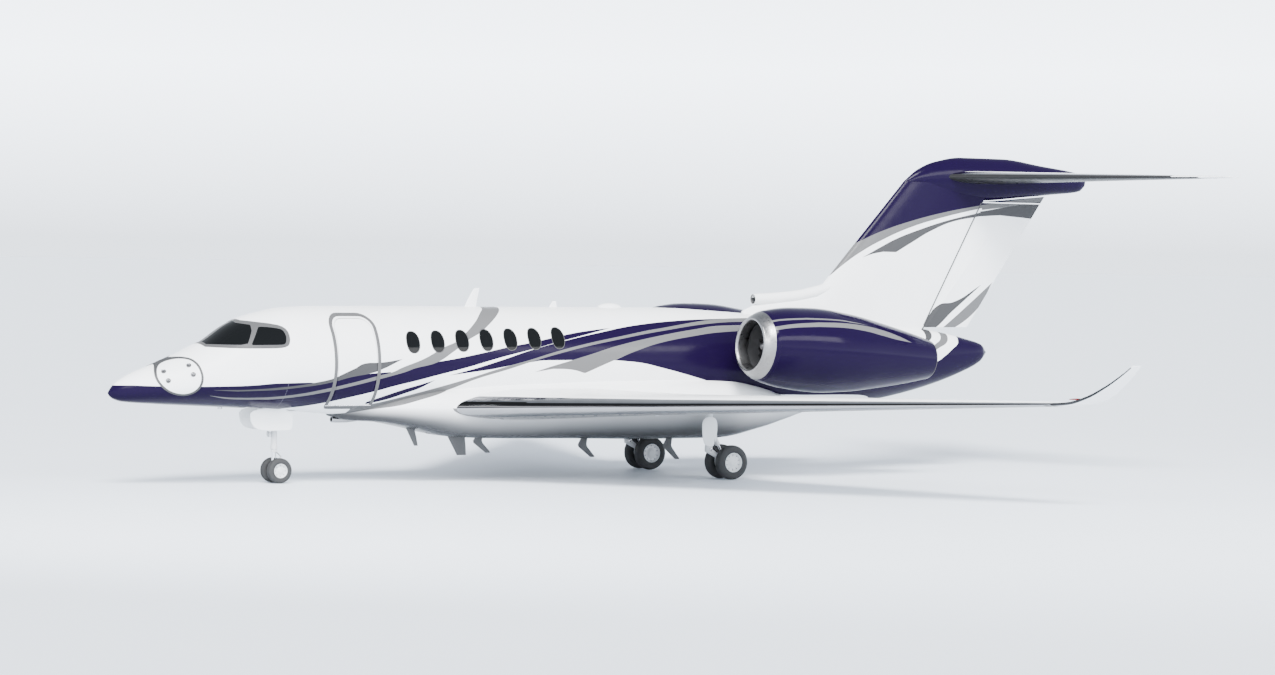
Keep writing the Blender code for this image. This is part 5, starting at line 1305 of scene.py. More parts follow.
# %% Cores
GUIDES, GUIDES_AT, STRUTS, CORE_FRONT, CORE_END = 28, 0.755, 4, 0.70, 4.1
GUIDE = vane([(0.235, 12, 0.075, 0.006, 0.0), (0.36, 10, 0.078, 0.005, 0.0), (0.494, 8, 0.080, 0.005, 0.0)])
STRUT = [[(0.85 + 0.35 * u, w, r) for u, w in ((0, 0), (0.1, 0.010), (0.3, 0.016), (0.65, 0.010), (1, 0),
                                              (0.65, -0.010), (0.3, -0.016), (0.1, -0.010))]
         for r in (0.2, 0.4995)]
CORE = curve([(CORE_FRONT, 0.22), (1.0, 0.28), (2.4, 0.30), (3.3, 0.24), (3.9, 0.10), (CORE_END, 0.02)])
for side, hand in HANDS:
    rows = [(0.6203, 0.06), (0.69, 0.06), (0.695, 0.20), (CORE_FRONT, 0.218)]
    rows += [(s, CORE(s)) for s in spaced(0.72, CORE_END, 40)]
    parts = [loft("core", turned(rows, side, 56), burnt_metal),
             ring_of("guide_vanes", GUIDE, GUIDES, titanium, engine_matrix(side, GUIDES_AT)),
             ring_of("struts", STRUT, STRUTS, titanium, engine_matrix(side))]
    settle(join("core_skin_" + hand, parts), "dark_metal", "engine_core_" + hand)

# %% Pylons
for side, hand in HANDS:
    plan = Plan(line([(0.0, 13.05), (2.0, 13.35)]), line([(0.0, 16.35), (2.0, 15.85)]),
                lambda s: 0.20, lambda s: 0.075, side=side)
    skin = loft("pylon_skin_" + hand, [plan.full(s, plan.along(s, 0.6)) for s in spaced(0.45, 1.75, 6)],
                white_paint, sharp=28)
    carve(skin, loft("tool", [hull_ring(x, SEAM) for x in spaced(12.3, 17.3, 24)]))
    carve(skin, loft("tool", turned([(s, COWL_OUTER(s) + SEAM) for s in spaced(LIP_END, COWL_END, 30)], side)))
    settle(skin, "white_paint", "pylon_" + hand)

# %% [markdown]
# ## Blades, masts and small intakes
# Radio blades stand on the crown, and kinked masts and blades hang under the belly. Each one is a short
# wing section that leans back. The crown also carries a low blister and the belly a small ram inlet.

# %% Antennas
mast_paint = paint("mast_paint", (0.11, 0.11, 0.112), roughness=0.35)


def upright(name, rows, finish):
    """A blade through rows of front, back, height and half thickness, round in front and thin behind."""
    rings = []
    for x0, x1, z, half in rows:
        upper = [(x0 + (x1 - x0) * u, half * 2.6 * (math.sqrt(u) - u), z)
                 for u in (math.sin(a) ** 2 for a in spaced(0.0, math.pi / 2, 8))]
        rings.append(upper + [(x, -y, z) for x, y, _ in upper[-2:0:-1]])
    return loft(name, rings, finish, sharp=40)


crown = [upright("crown_blade", [(7.24, 7.50, 1.02, 0.014), (7.33, 7.53, 1.20, 0.012), (7.44, 7.57, 1.38, 0.009),
                                 (7.48, 7.57, 1.41, 0.004)], white_paint),
         upright("small_blade", [(9.09, 9.29, 1.02, 0.010), (9.17, 9.27, 1.14, 0.008), (9.20, 9.26, 1.17, 0.003)],
                 white_paint),
         loft("blister", [[(10.46 + 0.26 * c * math.cos(t), 0.14 * s * math.cos(t), 1.045 + 0.095 * math.sin(t))
                           for c, s in turn(36, 0.0)] for t in spaced(-0.3, 1.5, 10)], white_paint)]
settle(join("crown_antennas", crown), "white_paint")

hung = [upright("belly_blade", [(5.98, 6.19, -1.15, 0.012), (6.14, 6.27, -1.45, 0.010), (6.22, 6.30, -1.60, 0.005)],
                mast_paint),
        upright("big_blade", [(6.90, 7.30, -1.38, 0.016), (7.04, 7.33, -1.62, 0.014), (7.14, 7.34, -1.795, 0.006)],
                mast_paint),
        loft("square_patch", [[(6.59 + 0.12 * a * k, 0.11 * b * k, z) for a, b in rounded(SQUARE)]
                              for z, k in ((-1.28, 1.0), (-1.355, 1.0), (-1.37, 0.92))], mast_paint)]
for x, top, knee, foot in ((7.60, -1.40, -1.55, -1.76), (9.92, -1.45, -1.66, -1.88),
                           (11.86, -1.48, -1.70, -1.956), (12.93, -1.40, -1.60, -1.81)):
    end = x + 0.10 + 0.20 * (knee - foot)
    hung.append(upright("mast", [(x - 0.02, x + 0.11, top, 0.016), (x - 0.12, x + 0.08, knee + 0.03, 0.015),
                                 (x - 0.10, x + 0.10, knee - 0.02, 0.015),
                                 (end - 0.02, end + 0.11, foot + 0.03, 0.012),
                                 (end + 0.02, end + 0.12, foot, 0.005)], mast_paint))
settle(join("belly_masts", hung), "gear_metal")

scoop_rows = [(0.0, 0.046), (0.0, 0.058), (0.08, 0.062), (0.33, 0.055), (0.58, 0.02), (0.30, 0.015), (0.05, 0.044)]
scoop = spun("ram_scoop", scoop_rows, (4.47, 0.0, -1.075), (1.0, 0.0, -0.028), polished, 40, closed=True)
settle(scoop, "bare_metal")


# %% [markdown]
# ## Nose probes
# A white plate with a thin dark edge lies on each side of the nose. It holds four small probes. The
# plate follows the nose, so its rings are projected on the skin instead of being cut from a flat sheet.

# %% Nose plates
PLATE = [(0.832, -0.058), (1.06, 0.052), (1.297, 0.102), (1.477, 0.045), (1.554, -0.239), (1.487, -0.458),
         (1.30, -0.57), (1.059, -0.545), (0.864, -0.44), (0.754, -0.254)]
PLATE_MIDDLE, PLATE_GROWTH, RIM_SHARE = (1.154, -0.226), 1.07, 0.893
PROBES = ((0.919, -0.154), (1.351, -0.04), (0.959, -0.313), (1.391, -0.199))


def on_skin(x, z, side, lift):
    spot = (x, side * skin_y(x, z), z)
    return tuple(Vector(spot) + hull_normal(place(spot)) * lift)


def plate(name, side, outline, levels, finish):
    """Rings of the outline, each at a share of its size and a lift from the skin."""
    middle = [sum(p[k] for p in outline) / len(outline) for k in (0, 1)]
    return loft(name, [[on_skin(x, z, side, lift) for x, z in scaled(outline, middle, share)]
                       for share, lift in levels], finish)


for side, hand in HANDS:
    smooth = rounded(scaled(PLATE, PLATE_MIDDLE, PLATE_GROWTH))
    levels = [(RIM_SHARE, -0.004)]
    levels += [(share, 0.009) for share in (RIM_SHARE, 0.85, 0.78, 0.68, 0.57, 0.45, 0.32, 0.18, 0.02)]
    parts = [plate("face", side, smooth, levels, white_paint),
             plate("rim", side, smooth, [(1.0, -0.004), (1.0, 0.008), (0.945, 0.009), (0.889, 0.008),
                                         (0.889, -0.004)], seal_rubber)]
    for x, z in PROBES:
        root = Vector(on_skin(x, z, side, 0.0))
        out = hull_normal(place(tuple(root)))
        tip = root + out * 0.055
        parts += [spun("base", [(0.0, 0.046), (0.014, 0.046), (0.016, 0.040)], root, out, panel_black, 28),
                  between("stem", root, tip, [(0, 0.007), (0.8, 0.005), (1, 0.004)], steel, 16),
                  spun("tube", [(-0.06, 0.002), (-0.055, 0.0045), (0.0, 0.006), (0.02, 0.004)], tip,
                       (1, 0, 0), steel, 16)]
    settle(join("nose_plate_" + hand, parts), "white_paint")

# %% [markdown]
# ## Landing gear
# The main legs have a trailing arm with a separate shock strut, which makes landings soft. Each leg
# carries two wheels. A tyre is turned from one profile with four water grooves. A main wheel has ten tie
# bolts and a nose wheel eight, and multi-disc brakes sit between the two main wheels.

# %% Wheels
FACET, GROOVE = math.cos(math.pi / 20), 0.006
MAIN_TRACK, MAIN_HALF, MAIN_RADIUS = 1.55, 0.10, 0.34
NOSE_TRACK, NOSE_HALF, NOSE_RADIUS = 0.15, 0.075, 0.24
MAIN_AXLE = (12.25, MAIN_RADIUS * FACET - CENTRE_HEIGHT)
NOSE_AXLE = (3.35, NOSE_RADIUS * FACET - CENTRE_HEIGHT)
SHOULDER = [(0.66, 0.975), (0.84, 0.925), (0.97, 0.82), (1.0, 0.74), (0.96, 0.64), (0.88, 0.565), (0.80, 0.545)]
RIM = [(0.80, 0.555), (0.93, 0.55), (0.93, 0.52), (0.70, 0.49), (0.52, 0.44), (0.50, 0.30), (0.62, 0.22),
       (0.80, 0.18), (0.84, 0.15), (0.84, 0.02), (-0.5, 0.02), (-0.5, 0.20), (-0.60, 0.47), (-0.93, 0.52),
       (-0.93, 0.55), (-0.80, 0.555)]


def tyre_rows(half, radius):
    """The tyre's section, from its inner bead over the tread to its outer bead."""
    tread = []
    for centre in (-0.42, -0.14, 0.14, 0.42):
        for offset, depth in ((-0.05, 0.0), (-0.035, GROOVE), (0.035, GROOVE), (0.05, 0.0)):
            tread.append(((centre + offset) * half, radius - depth - 0.02 * radius * abs(centre + offset)))
    shoulder = [(half * s, radius * r) for s, r in SHOULDER]
    return [(-s, r) for s, r in reversed(shoulder)] + tread + shoulder


def dressed_wheel(name, x, y, z, half, radius, outward, bolts, body):
    """A tyre, its rim with a closed back, its tie bolts and its vents."""
    centre, axis = (x, y, z), (0, outward, 0)
    rim = [(half * s, radius * r) for s, r in RIM]
    parts = [spun("tyre", tyre_rows(half, radius * FACET), centre, axis, tyre_rubber, 96, closed=True, sharp=50),
             spun("rim", rim, centre, axis, gear_paint, 64, closed=True)]
    facing = Matrix.Translation(place(centre)) @ Matrix.Rotation(outward * math.pi / 2, 4, "Z")
    for label, rows, sides, height, finish in (
            ("bolts", ((0.49, 0.036), (0.60, 0.036), (0.63, 0.026)), 6, 0.375, steel),
            ("vents", ((0.50, 0.030), (0.575, 0.030), (0.58, 0.02)), 12, 0.44, panel_black)):
        rings = [[(half * s, radius * k * c, radius * (height + k * n)) for c, n in turn(sides, 0.0)]
                 for s, k in rows]
        parts.append(ring_of(label, rings, bolts, finish, facing))
    settle(join(name + "_dressed", parts), "rubber", name, body=body)


for side, hand in HANDS:
    for spot, offset in (("inner", -0.2), ("outer", 0.2)):
        dressed_wheel(f"main_wheel_{hand}_{spot}", MAIN_AXLE[0], side * (MAIN_TRACK + offset), MAIN_AXLE[1],
                      MAIN_HALF, MAIN_RADIUS, side * math.copysign(1, offset), 10, "main_wheels_" + hand)
    dressed_wheel(f"nose_wheel_{hand}", NOSE_AXLE[0], side * NOSE_TRACK, NOSE_AXLE[1], NOSE_HALF, NOSE_RADIUS,
                  side, 8, "nose_wheels")


# %% Main legs
LEG_X, SHOCK_TOP, ARM_PIVOT = 11.85, -1.16, -1.66
LEG_ROWS = [(0.0, 0.066), (0.01, 0.07), (0.24, 0.07), (0.25, 0.080), (0.36, 0.080), (0.38, 0.066), (0.72, 0.066),
            (0.74, 0.078), (0.84, 0.078), (0.86, 0.066)]
ARM_ROWS = [(0, 0.05), (0.03, 0.062), (0.45, 0.052), (0.88, 0.056), (0.93, 0.068), (1, 0.066)]
SHOCK_ROWS = [(0, 0.034), (0.05, 0.044), (0.55, 0.044), (0.57, 0.048), (0.60, 0.048), (0.61, 0.025)]
BRAKE_ROWS = [(0.010, 0.10), (0.012, 0.165)]
BRAKE_ROWS += [(0.012 + 0.012 * k + d, 0.165 - 0.012 * (d > 0.005)) for k in range(5) for d in (0.002, 0.007, 0.010)]
BRAKE_ROWS += [(0.076, 0.15), (0.078, 0.06), (0.078, 0.046), (0.010, 0.046)]


def pipe(name, points, radius, finish):
    """A rigid line bent through the points."""
    lines = [curve([(k, p[i]) for k, p in enumerate(points)]) for i in range(3)]
    path = [Vector([at(t) for at in lines]) for t in spaced(0, len(points) - 1, 8 * (len(points) - 1))]
    rings, across = [], None
    for k, spot in enumerate(path):
        ahead = (path[min(k + 1, len(path) - 1)] - path[max(k - 1, 0)]).normalized()
        across = (across - ahead * across.dot(ahead)).normalized() if across else ahead.orthogonal().normalized()
        other = ahead.cross(across)
        rings.append([tuple(spot + (across * c + other * s) * radius) for c, s in turn(12, 0.0)])
    return loft(name, rings, finish, sharp=60)


for side, hand in HANDS:
    y, (ax, az) = side * MAIN_TRACK, MAIN_AXLE
    shock = (LEG_X, y, SHOCK_TOP), (ax - 0.05, y, az + 0.055)
    parts = [spun("post", LEG_ROWS, (LEG_X, y, -0.8603), DOWN, gear_paint),
             between("arm", (11.80, y, -1.655), (ax, y, az), ARM_ROWS, gear_paint),
             between("shock", *shock, SHOCK_ROWS, gear_paint),
             between("piston", *shock, [(0.5, 0.024), (1.0, 0.024)], chrome),
             pin("pivot", (LEG_X, y, ARM_PIVOT), 0.095, 0.02, 0.09, 0.028),
             pin("upper_pivot", (LEG_X, y, SHOCK_TOP), 0.085, 0.02, 0.08, 0.026),
             pin("axle", (ax, y, az), 0.1117, 0.036, 0.11, 0.044)]
    for out in (-1, 1):
        parts += [spun("brake", BRAKE_ROWS, (ax, y, az), (0, out, 0), brake_metal, 48, closed=True),
                  pipe("brake_line", [(11.90, y + out * 0.05, -1.25), (11.93, y + out * 0.085, -1.45),
                                      (11.93, y + out * 0.09, -1.62), (12.06, y + out * 0.075, -1.74),
                                      (12.20, y + out * 0.05, az + 0.13)], 0.006, panel_black)]
    parts.append(pipe("door_rod", [(LEG_X, y, -1.30), (11.83, y + side * 0.04, -1.31),
                                   (11.80, y + side * 0.066, -1.32)], 0.009, steel))
    settle(join("main_leg_dressed_" + hand, parts), "gear_metal", "main_leg_" + hand)

# %% Gear doors
MAIN_DOOR = rounded([(11.65, -1.03), (11.99, -1.03), (11.99, -1.38), (11.93, -1.60), (11.71, -1.60), (11.65, -1.38)])
NOSE_DOOR = rounded([(2.70, -0.84), (3.56, -0.84), (3.56, -1.22), (3.50, -1.26), (2.86, -1.26), (2.70, -1.10)], 2)
MAIN_DOOR_LEVELS = ((0.80, 0.003), (0.84, 0.0), (0.97, 0.0), (1.0, 0.005), (1.0, 0.014), (0.97, 0.019),
                    (0.80, 0.022))
NOSE_DOOR_LEVELS = ((0.85, 0.0), (0.985, 0.0), (1.0, 0.004), (1.0, 0.018), (0.985, 0.022), (0.93, 0.022),
                    (0.92, 0.017), (0.80, 0.017))
MAIN_DOOR_AT = MAIN_TRACK + 0.07 * math.cos(math.pi / 16) + JOINT
NOSE_DOOR_AT = 0.26 - JOINT


def gear_door(kind, side, hand, outline, middle, levels, at, outward):
    """A door panel: rings of its outline, each at a share of its size and a depth from its inner face."""
    rings = [[(x, side * (at + outward * depth), z) for x, z in scaled(outline, middle, share)]
             for share, depth in levels]
    settle(loft(f"{kind}_door_dressed_{hand}", rings, white_paint), "white_paint", f"{kind}_gear_door_{hand}")


for side, hand in HANDS:
    gear_door("main", side, hand, MAIN_DOOR, (11.82, -1.315), MAIN_DOOR_LEVELS, MAIN_DOOR_AT, 1)
    gear_door("nose", side, hand, NOSE_DOOR, (3.13, -1.05), NOSE_DOOR_LEVELS, NOSE_DOOR_AT, -1)

# %% Nose leg
ax, az = NOSE_AXLE
NOSE_LEG_X = 3.30
LAMP_SPOT, LAMP_AIM = (3.235, 0.0, -1.33), (-1, 0, -0.1)
NOSE_POST = [(0.0, 0.055), (0.01, 0.06), (0.42, 0.06), (0.43, 0.068), (0.50, 0.068), (0.51, 0.058), (0.98, 0.058),
             (1.0, 0.068), (1.07, 0.068), (1.0797, 0.060)]
lens_glass = glazing("lens_glass", (0.85, 0.88, 0.90), 0.6)
parts = [spun("post", NOSE_POST, (NOSE_LEG_X, 0, -0.5403), DOWN, gear_paint),
         between("brace", (3.28, 0, -1.15), (2.80, 0, -0.62), [(0, 0.026), (0.45, 0.030), (0.5, 0.036),
                                                                (0.55, 0.030), (1, 0.026)], gear_paint),
         pin("pivot", (NOSE_LEG_X, 0, -0.68), 0.2, 0.028, 0.19, 0.035),
         spun("lamp", [(0.0, 0.02), (0.03, 0.05), (0.055, 0.062), (0.06, 0.062)], LAMP_SPOT, LAMP_AIM, gear_paint),
         spun("lens", [(0.052, 0.056), (0.062, 0.056), (0.070, 0.040), (0.073, 0.005)], LAMP_SPOT, LAMP_AIM,
              lens_glass, 40)]
settle(join("nose_leg_dressed", parts), "gear_metal", "nose_leg")


# %% Nose fork
def torque_link(top, knee, foot, half):
    """Two flat arms, wide at the leg and narrow at the knee, with a pin between them."""
    parts = []
    for a, b, wide, slim in ((top, knee, half, half * 0.45), (knee, foot, half * 0.45, half)):
        rings = [[(x, y * w, z + t) for y, t in ((-1, -0.010), (1, -0.010), (1, 0.010), (-1, 0.010))]
                 for (x, z), w in ((a, wide), (b, slim))]
        parts.append(loft("arm", rings, gear_paint))
    ends = [(knee[0], out * half * 0.6, knee[1]) for out in (-1, 1)]
    return parts + [between("pin", *ends, [(0, 0.012), (1, 0.012)], steel, 24)]


parts = [spun("piston", [(0.0, 0.040), (0.06, 0.040), (0.22, 0.040), (0.23, 0.040)], (NOSE_LEG_X, 0, -1.6203),
              DOWN, chrome),
         between("knee", (NOSE_LEG_X, 0, az + 0.17), (ax, 0, az), [(0, 0.046), (0.2, 0.050), (0.8, 0.050),
                                                                   (1, 0.044)], gear_paint),
         pin("axle", (ax, 0, az), 0.0867, 0.024, 0.08, 0.030),
         spun("collar", [(0.0, 0.050), (0.004, 0.056), (0.045, 0.056), (0.05, 0.050)], (NOSE_LEG_X, 0, -1.6253),
              DOWN, gear_paint)]
parts += torque_link((3.34, -1.655), (3.45, -1.75), (3.36, az + 0.12), 0.045)
settle(join("nose_fork_dressed", parts), "gear_metal", "nose_fork", body="nose_steering")

# %% [markdown]
# ## Moving surfaces
# The flaps, ailerons, elevators and the rudder keep the exact form of the solid model, because their
# noses turn inside the hollows behind the wing and the fin. A copy of each is merged and smoothed, so
# the gloss paint runs evenly over it.

# %% Smooth copies
def smooth_copy(node, finish):
    """The node's own mesh, merged and shaded smooth, with a finish of its own."""
    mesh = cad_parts[node].data.copy()
    mesh.transform(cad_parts[node].matrix_world)
    shape = bmesh.new()
    shape.from_mesh(mesh)
    bmesh.ops.remove_doubles(shape, verts=shape.verts, dist=1e-5)
    bmesh.ops.dissolve_limit(shape, angle_limit=0.002, verts=shape.verts, edges=shape.edges)
    shape.to_mesh(mesh)
    shape.free()
    mesh.materials.clear()
    mesh.materials.append(finish)
    mesh.shade_smooth()
    mesh.set_sharp_from_angle(angle=math.radians(20))
    settle(link(node + "_dressed", mesh), "white_paint", node, body=node)


smooth_copy("rudder", fin_paint)
RUDDER_FRONT, RUDDER_BACK, RUDDER_JOIN, RUDDER_RAKE = 19.423, 20.951, 3.2995, 0.707
rings = []
for low in (True, False):
    ring = []
    for out, shares in ((1, spaced(0.03, 1.0, 14)), (-1, spaced(1.0, 0.03, 14))):
        for u in shares:
            x = RUDDER_FRONT + u * (RUDDER_BACK - RUDDER_FRONT)
            half = max(FIN_PLAN.half(3.295, x) - 0.0006, 0.002)
            top = RUDDER_JOIN if low else max(BULLET_BOTTOM(x + 0.06) - 0.022, 3.302)
            ring.append((x + RUDDER_RAKE * (top - RUDDER_JOIN), out * half, top))
    rings.append(ring)
settle(loft("rudder_top", rings, fin_paint, sharp=30), "white_paint", body="rudder")
for hand in ("left", "right"):
    for kind in ("elevator_", "aileron_", "flap_inboard_", "flap_outboard_"):
        smooth_copy(kind + hand, white_paint)

# %% Wicks and lights
WICKS = ((9.62, 14.47, -0.425, 0.13), (9.74, 14.51, -0.42, 0.13), (9.86, 14.55, -0.415, 0.13),
         (4.56, 22.10, STAB_TOP, 0.11), (4.70, 22.15, STAB_TOP, 0.11), (4.82, 22.20, STAB_TOP, 0.11))
GREEN, RED = (0.01, 0.10, 0.03), (0.12, 0.008, 0.008)
for side, hand in HANDS:
    parts = [between("wick", (x, side * y, z), (x + length, side * y, z), [(0, 0.006), (0.2, 0.003), (1, 0.0018)],
                     panel_black, 10) for y, x, z, length in WICKS]
    settle(join("wicks_" + hand, parts), "dark_metal")
    lamp = glazing("lamp_" + hand, GREEN if side > 0 else RED, 0.2)
    rings = []
    for t in spaced(-1.0, 1.0, 12):
        girth = math.sqrt(max(1 - t * t, 0.001))
        rings.append(oval_ring(14.02 + 0.17 * t, 0, 0.014 * girth, 0.010 * girth, 20))
    bulb = loft("wing_light_" + hand, rings, lamp)
    bulb.data.transform(Matrix.Translation((0.0, side * 10.30, -0.305)))
    settle(bulb, "dark_glass")

# %% [markdown]
# ## Cabin
# Through the door and the windows a floor, two bulkheads and ten seats can be seen. Walls and floor are
# lined with a matt trim and a short-pile carpet. A business seat is two leather cushions on a frame.
# The cushions are blown up with the cloth solver, which gives them the tight crown and the pull at the
# corners that a modelled block would not have.

# %% Carried pieces of the cabin
walnut = plastic("walnut", (0.16, 0.075, 0.035), 0.28, 60.0, 0.05, 0.55)
for node, finish in (("cabin_floor", carpet), ("cockpit_bulkhead", walnut), ("aft_bulkhead", walnut),
                     ("instrument_panel", panel_black)):
    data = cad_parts[node].data
    data.materials.clear()
    data.materials.append(finish)

# %% Cushions
SEAT_SIZE = {"base": (0.44, 0.43, 0.085), "back": (0.085, 0.43, 0.54)}
PRESSURE, CLOTH_FRAMES, LARGEST_SWELL = 4.0, 20, 0.014


def rough_cushion(size):
    """A closed block with soft edges, a little smaller than the finished cushion."""
    shape = bmesh.new()
    bmesh.ops.create_cube(shape, size=1.0)
    bmesh.ops.subdivide_edges(shape, edges=shape.edges, cuts=9, use_grid_fill=True)
    for v in shape.verts:
        unit = Vector([2 * c for c in v.co])
        pull = 1 - 0.035 * sum(abs(a * b) ** 4 for a, b in ((unit.x, unit.y), (unit.y, unit.z), (unit.z, unit.x)))
        v.co = Vector([unit[k] / 2 * size[k] * pull * 0.93 for k in range(3)])
    mesh = bpy.data.meshes.new("cushion")
    shape.to_mesh(mesh)
    shape.free()
    return link("cushion", mesh)


def blown(size):
    """The cushion after cloth has filled it: its mesh round the origin."""
    pad = rough_cushion(size)
    before = [v.co.copy() for v in pad.data.vertices]
    cloth = pad.modifiers.new("cloth", "CLOTH")
    cloth.settings.use_pressure = True
    cloth.settings.uniform_pressure_force = PRESSURE
    cloth.settings.effector_weights.gravity = 0.0
    cloth.settings.quality = 6
    for number in range(1, CLOTH_FRAMES + 1):
        bpy.context.scene.frame_set(number)
    after = evaluated(pad)
    pad.modifiers.remove(cloth)
    bpy.context.scene.frame_set(1)
    for v, start, end in zip(pad.data.vertices, before, after.vertices):
        move = end.co - start
        v.co = start + (move if move.length < LARGEST_SWELL else move.normalized() * LARGEST_SWELL)
    smooth = pad.modifiers.new("smooth", "SUBSURF")
    smooth.levels = smooth.render_levels = 1
    mesh = evaluated(pad)
    mesh.shade_smooth()
    bpy.data.objects.remove(pad)
    return mesh


CUSHIONS = {kind: blown(size) for kind, size in SEAT_SIZE.items()}
print("cushion faces", {kind: len(mesh.polygons) for kind, mesh in CUSHIONS.items()})


# %% Seats
def cushion(name, kind, spot, lean=0.0):
    """A finished cushion at a station point, leaned back round y."""
    mesh = CUSHIONS[kind].copy()
    mesh.transform(Matrix.Translation(place(spot)) @ Matrix.Rotation(lean, 4, "Y"))
    mesh.materials.append(leather)
    made = link(name, mesh)
    settle(made, "seat_leather")


def seat_frame(x, y, base, facing):
    """The rigid frame, arms and foot under the cushions of one seat."""
    def slab(name, outline, y0, y1, finish):
        return loft(name, [[(x + facing * dx, y + dy, base + dz) for dx, dz in rounded(outline, 2)]
                           for dy in (y0, y1)], finish)

    rest = [(-0.27, 0.30), (-0.27, 0.345), (0.19, 0.345), (0.305, 1.0), (0.385, 1.0), (0.29, 0.345), (0.20, 0.285)]
    arm = [(-0.20, 0.47), (-0.20, 0.53), (0.20, 0.55), (0.22, 0.49), (0.20, 0.36), (0.10, 0.345), (-0.10, 0.345)]
    foot = [[(x + 0.15 * a, y * 0.88 + 0.06 * b, base + z) for a, b in rounded(SQUARE)] for z in (0.002, 0.30)]
    return [slab("frame", rest, -0.20, 0.20, cabin_trim)] + [
        slab("arm", arm, out * 0.222, out * 0.262, leather) for out in (-1, 1)] + [loft("foot", foot, cabin_trim)]


def seat(name, x, y, base, facing):
    cushion(name + "_base", "base", (x - facing * 0.045, y, base + 0.393))
    cushion(name + "_back", "back", (x + facing * 0.235, y, base + 0.735), facing * 0.175)
    return seat_frame(x, y, base, facing)


COCKPIT_FLOOR, CABIN_FLOOR = -0.50, -0.80
for side, hand in HANDS:
    frames = seat("pilot_seat_" + hand, 2.80, side * 0.38, COCKPIT_FLOOR, 1)
    settle(join("pilot_frame_" + hand, frames), "seat_leather", "pilot_seat_" + hand)
    frames = []
    for k, (x, facing) in enumerate(((6.0, -1), (7.6, 1), (8.9, -1), (10.6, 1))):
        frames += seat(f"cabin_seat_{hand}_{k}", x, side * 0.50, CABIN_FLOOR, facing)
    rail = [[(x, side * 0.43 + 0.03 * a, CABIN_FLOOR + 0.012 + 0.010 * b) for a, b in rounded(SQUARE, 1)]
            for x in (5.6, 11.2)]
    frames.append(loft("rail", rail, steel))
    settle(join("cabin_frames_" + hand, frames), "seat_leather", "cabin_seats_" + hand)

# %% Instruments and airstair
screens = []
for y in (-0.55, -0.20, 0.20, 0.55):
    face = rounded([(-0.14, -0.09), (0.14, -0.09), (0.14, 0.09), (-0.14, 0.09)], 2)
    rings = [[(2.142 + 0.56 * dz + lift, y + dy * size, 0.03 + dz * size) for dy, dz in face]
             for lift, size in ((-0.004, 1.0), (0.008, 1.0), (0.010, 0.96))]
    screens.append(loft("screen", rings, panel_black))
settle(join("screens", screens), "dark_metal")

STEP_FRONT, STEP_BACK, STEP_DEPTH = 4.25, 4.76, 0.24
steps = []
for k in range(4):
    z = -0.50 + 0.32 * k
    y0 = -math.sqrt((RADIUS - WALL / 2) ** 2 - z * z)
    middle = ((STEP_FRONT + STEP_BACK) / 2, y0 + STEP_DEPTH / 2)
    y1 = y0 + STEP_DEPTH
    tread = rounded([(STEP_FRONT, y0), (STEP_BACK, y0), (STEP_BACK, y1), (STEP_FRONT, y1)], 2)
    steps.append(loft("step", [[(x, y, z + h) for x, y in scaled(tread, middle, s)]
                               for s, h in ((0.97, 0.0), (1.0, 0.004), (1.0, 0.026), (0.97, 0.03))], gear_paint))
    mat = [(middle[0] + (x - middle[0]) * 0.88, middle[1] + (y - middle[1]) * 0.8) for x, y in tread]
    steps.append(loft("grip", [[(x, y, z + h) for x, y in mat] for h in (0.029, 0.032)], carpet))
settle(join("airstair", steps), "gear_metal", body="door")

# %% Door hinge and jacking pads
HINGE_HEIGHT = -0.785


def hinge_piece(name, x0, x1):
    """A round rod on the door's hinge line."""
    ends = [(x, -skin_y(x, HINGE_HEIGHT), HINGE_HEIGHT) for x in (x0, x1)]
    return between(name, *ends, [(0, 0.0112), (0.01, 0.012), (0.99, 0.012), (1, 0.0112)], steel, 20)


settle(hinge_piece("hinge_barrel", 4.255, 4.755), "gear_metal", body="door")
pins = [hinge_piece("pin", 4.05, 4.25), hinge_piece("pin", 4.76, 4.96)]
settle(join("hinge_pins", pins), "gear_metal")
pads = [spun("pad", [(0.0, 0.044), (depth - 0.006, 0.045), (depth, 0.040), (depth, 0.022), (depth - 0.012, 0.018)],
             (x, y, top), DOWN, steel, 32)
        for x, y, top, depth in ((2.20, 0.0, -0.79, 0.07), (10.20, 2.30, -0.85, 0.11), (10.20, -2.30, -0.85, 0.11))]
settle(join("jack_pads", pads), "gear_metal")

# %% [markdown]
# ## Studio
# The aircraft stands on a wide pale floor that fades into a pale sky. The sky gives even light and the
# reflections that gloss paint needs. A broad sun gives soft shadows, and two large soft boxes add the
# long highlights that show the shape.

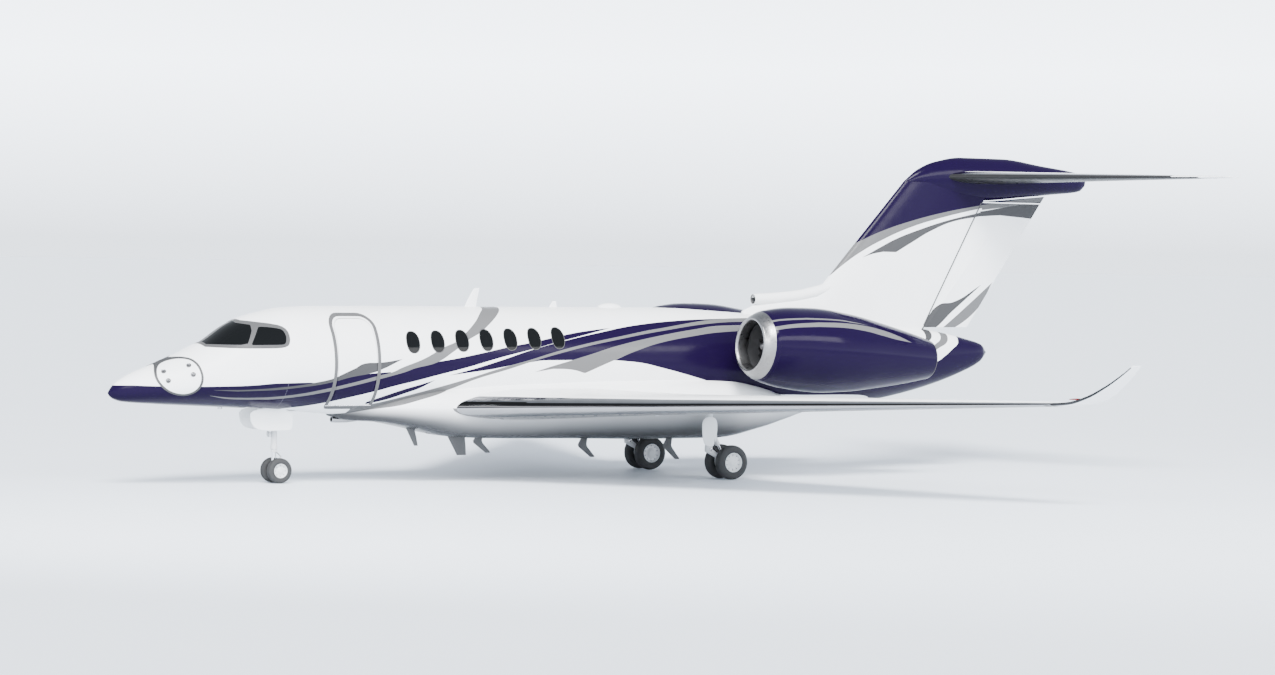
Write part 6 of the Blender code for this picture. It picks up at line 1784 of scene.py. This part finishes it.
# %% Floor
FLOOR_RADIUS, FLOOR_SIDES = 700.0, 96
floor_mesh = bpy.data.meshes.new("floor")
ring = [(FLOOR_RADIUS * c, FLOOR_RADIUS * s, 0.0) for c, s in turn(FLOOR_SIDES, 0.0)]
floor_mesh.from_pydata([(0.0, 0.0, 0.0)] + ring, [],
                       [(0, i + 1, (i + 1) % FLOOR_SIDES + 1) for i in range(FLOOR_SIDES)])
floor = link("floor", floor_mesh)
w = Wires("floor_paint", (0.745, 0.80, 0.87), 0.6)
w.feed(w.shader.inputs["Base Color"], w.blend(w.between(w.noise(0.35, 4.0), 0.0, 1.0),
                                              (0.74, 0.795, 0.865, 1.0), (0.75, 0.805, 0.875, 1.0)))
w.bump(w.noise(30.0, 3.0), 0.05, 0.001)
floor_mesh.materials.append(w.made)

# %% Light
SKY_TONE = (0.88, 0.955, 1.06)
SKY_LEVELS = ((0.0, 2.7), (0.05, 6.0), (0.14, 3.9), (0.45, 1.3), (1.0, 0.5))
world = bpy.data.worlds.new("sky")
world.use_nodes = True
tree, back = world.node_tree, world.node_tree.nodes["Background"]
toward, height = tree.nodes.new("ShaderNodeTexCoord"), tree.nodes.new("ShaderNodeSeparateXYZ")
tree.links.new(toward.outputs["Generated"], height.inputs[0])
fade = tree.nodes.new("ShaderNodeValToRGB")
for k, (spot, level) in enumerate(SKY_LEVELS):
    stop = fade.color_ramp.elements[k] if k < 2 else fade.color_ramp.elements.new(spot)
    stop.position, stop.color = spot, shade(SKY_TONE, level)
tree.links.new(height.outputs[2], fade.inputs[0])
tree.links.new(fade.outputs[0], back.inputs["Color"])
back.inputs["Strength"].default_value = 1.0
bpy.context.scene.world = world


def soft_box(name, spot, aim, length, width, watts):
    lamp = bpy.data.lights.new(name, "AREA")
    lamp.shape, lamp.size, lamp.size_y, lamp.energy = "RECTANGLE", length, width, watts
    holder = link(name, lamp)
    holder.location = spot
    holder.rotation_euler = (Vector(aim) - Vector(spot)).to_track_quat("-Z", "Y").to_euler()


sun = bpy.data.lights.new("sun", "SUN")
sun.energy, sun.angle = 8.5, math.radians(25)
link("sun", sun).rotation_euler = (math.radians(38), 0.0, math.radians(-22))
soft_box("box_front", (-16.0, -14.0, 11.0), (-2.0, 0.0, 2.5), 14.0, 5.0, 4000.0)
soft_box("box_side", (9.0, -24.0, 14.0), (2.0, 0.0, 3.0), 24.0, 5.0, 6000.0)
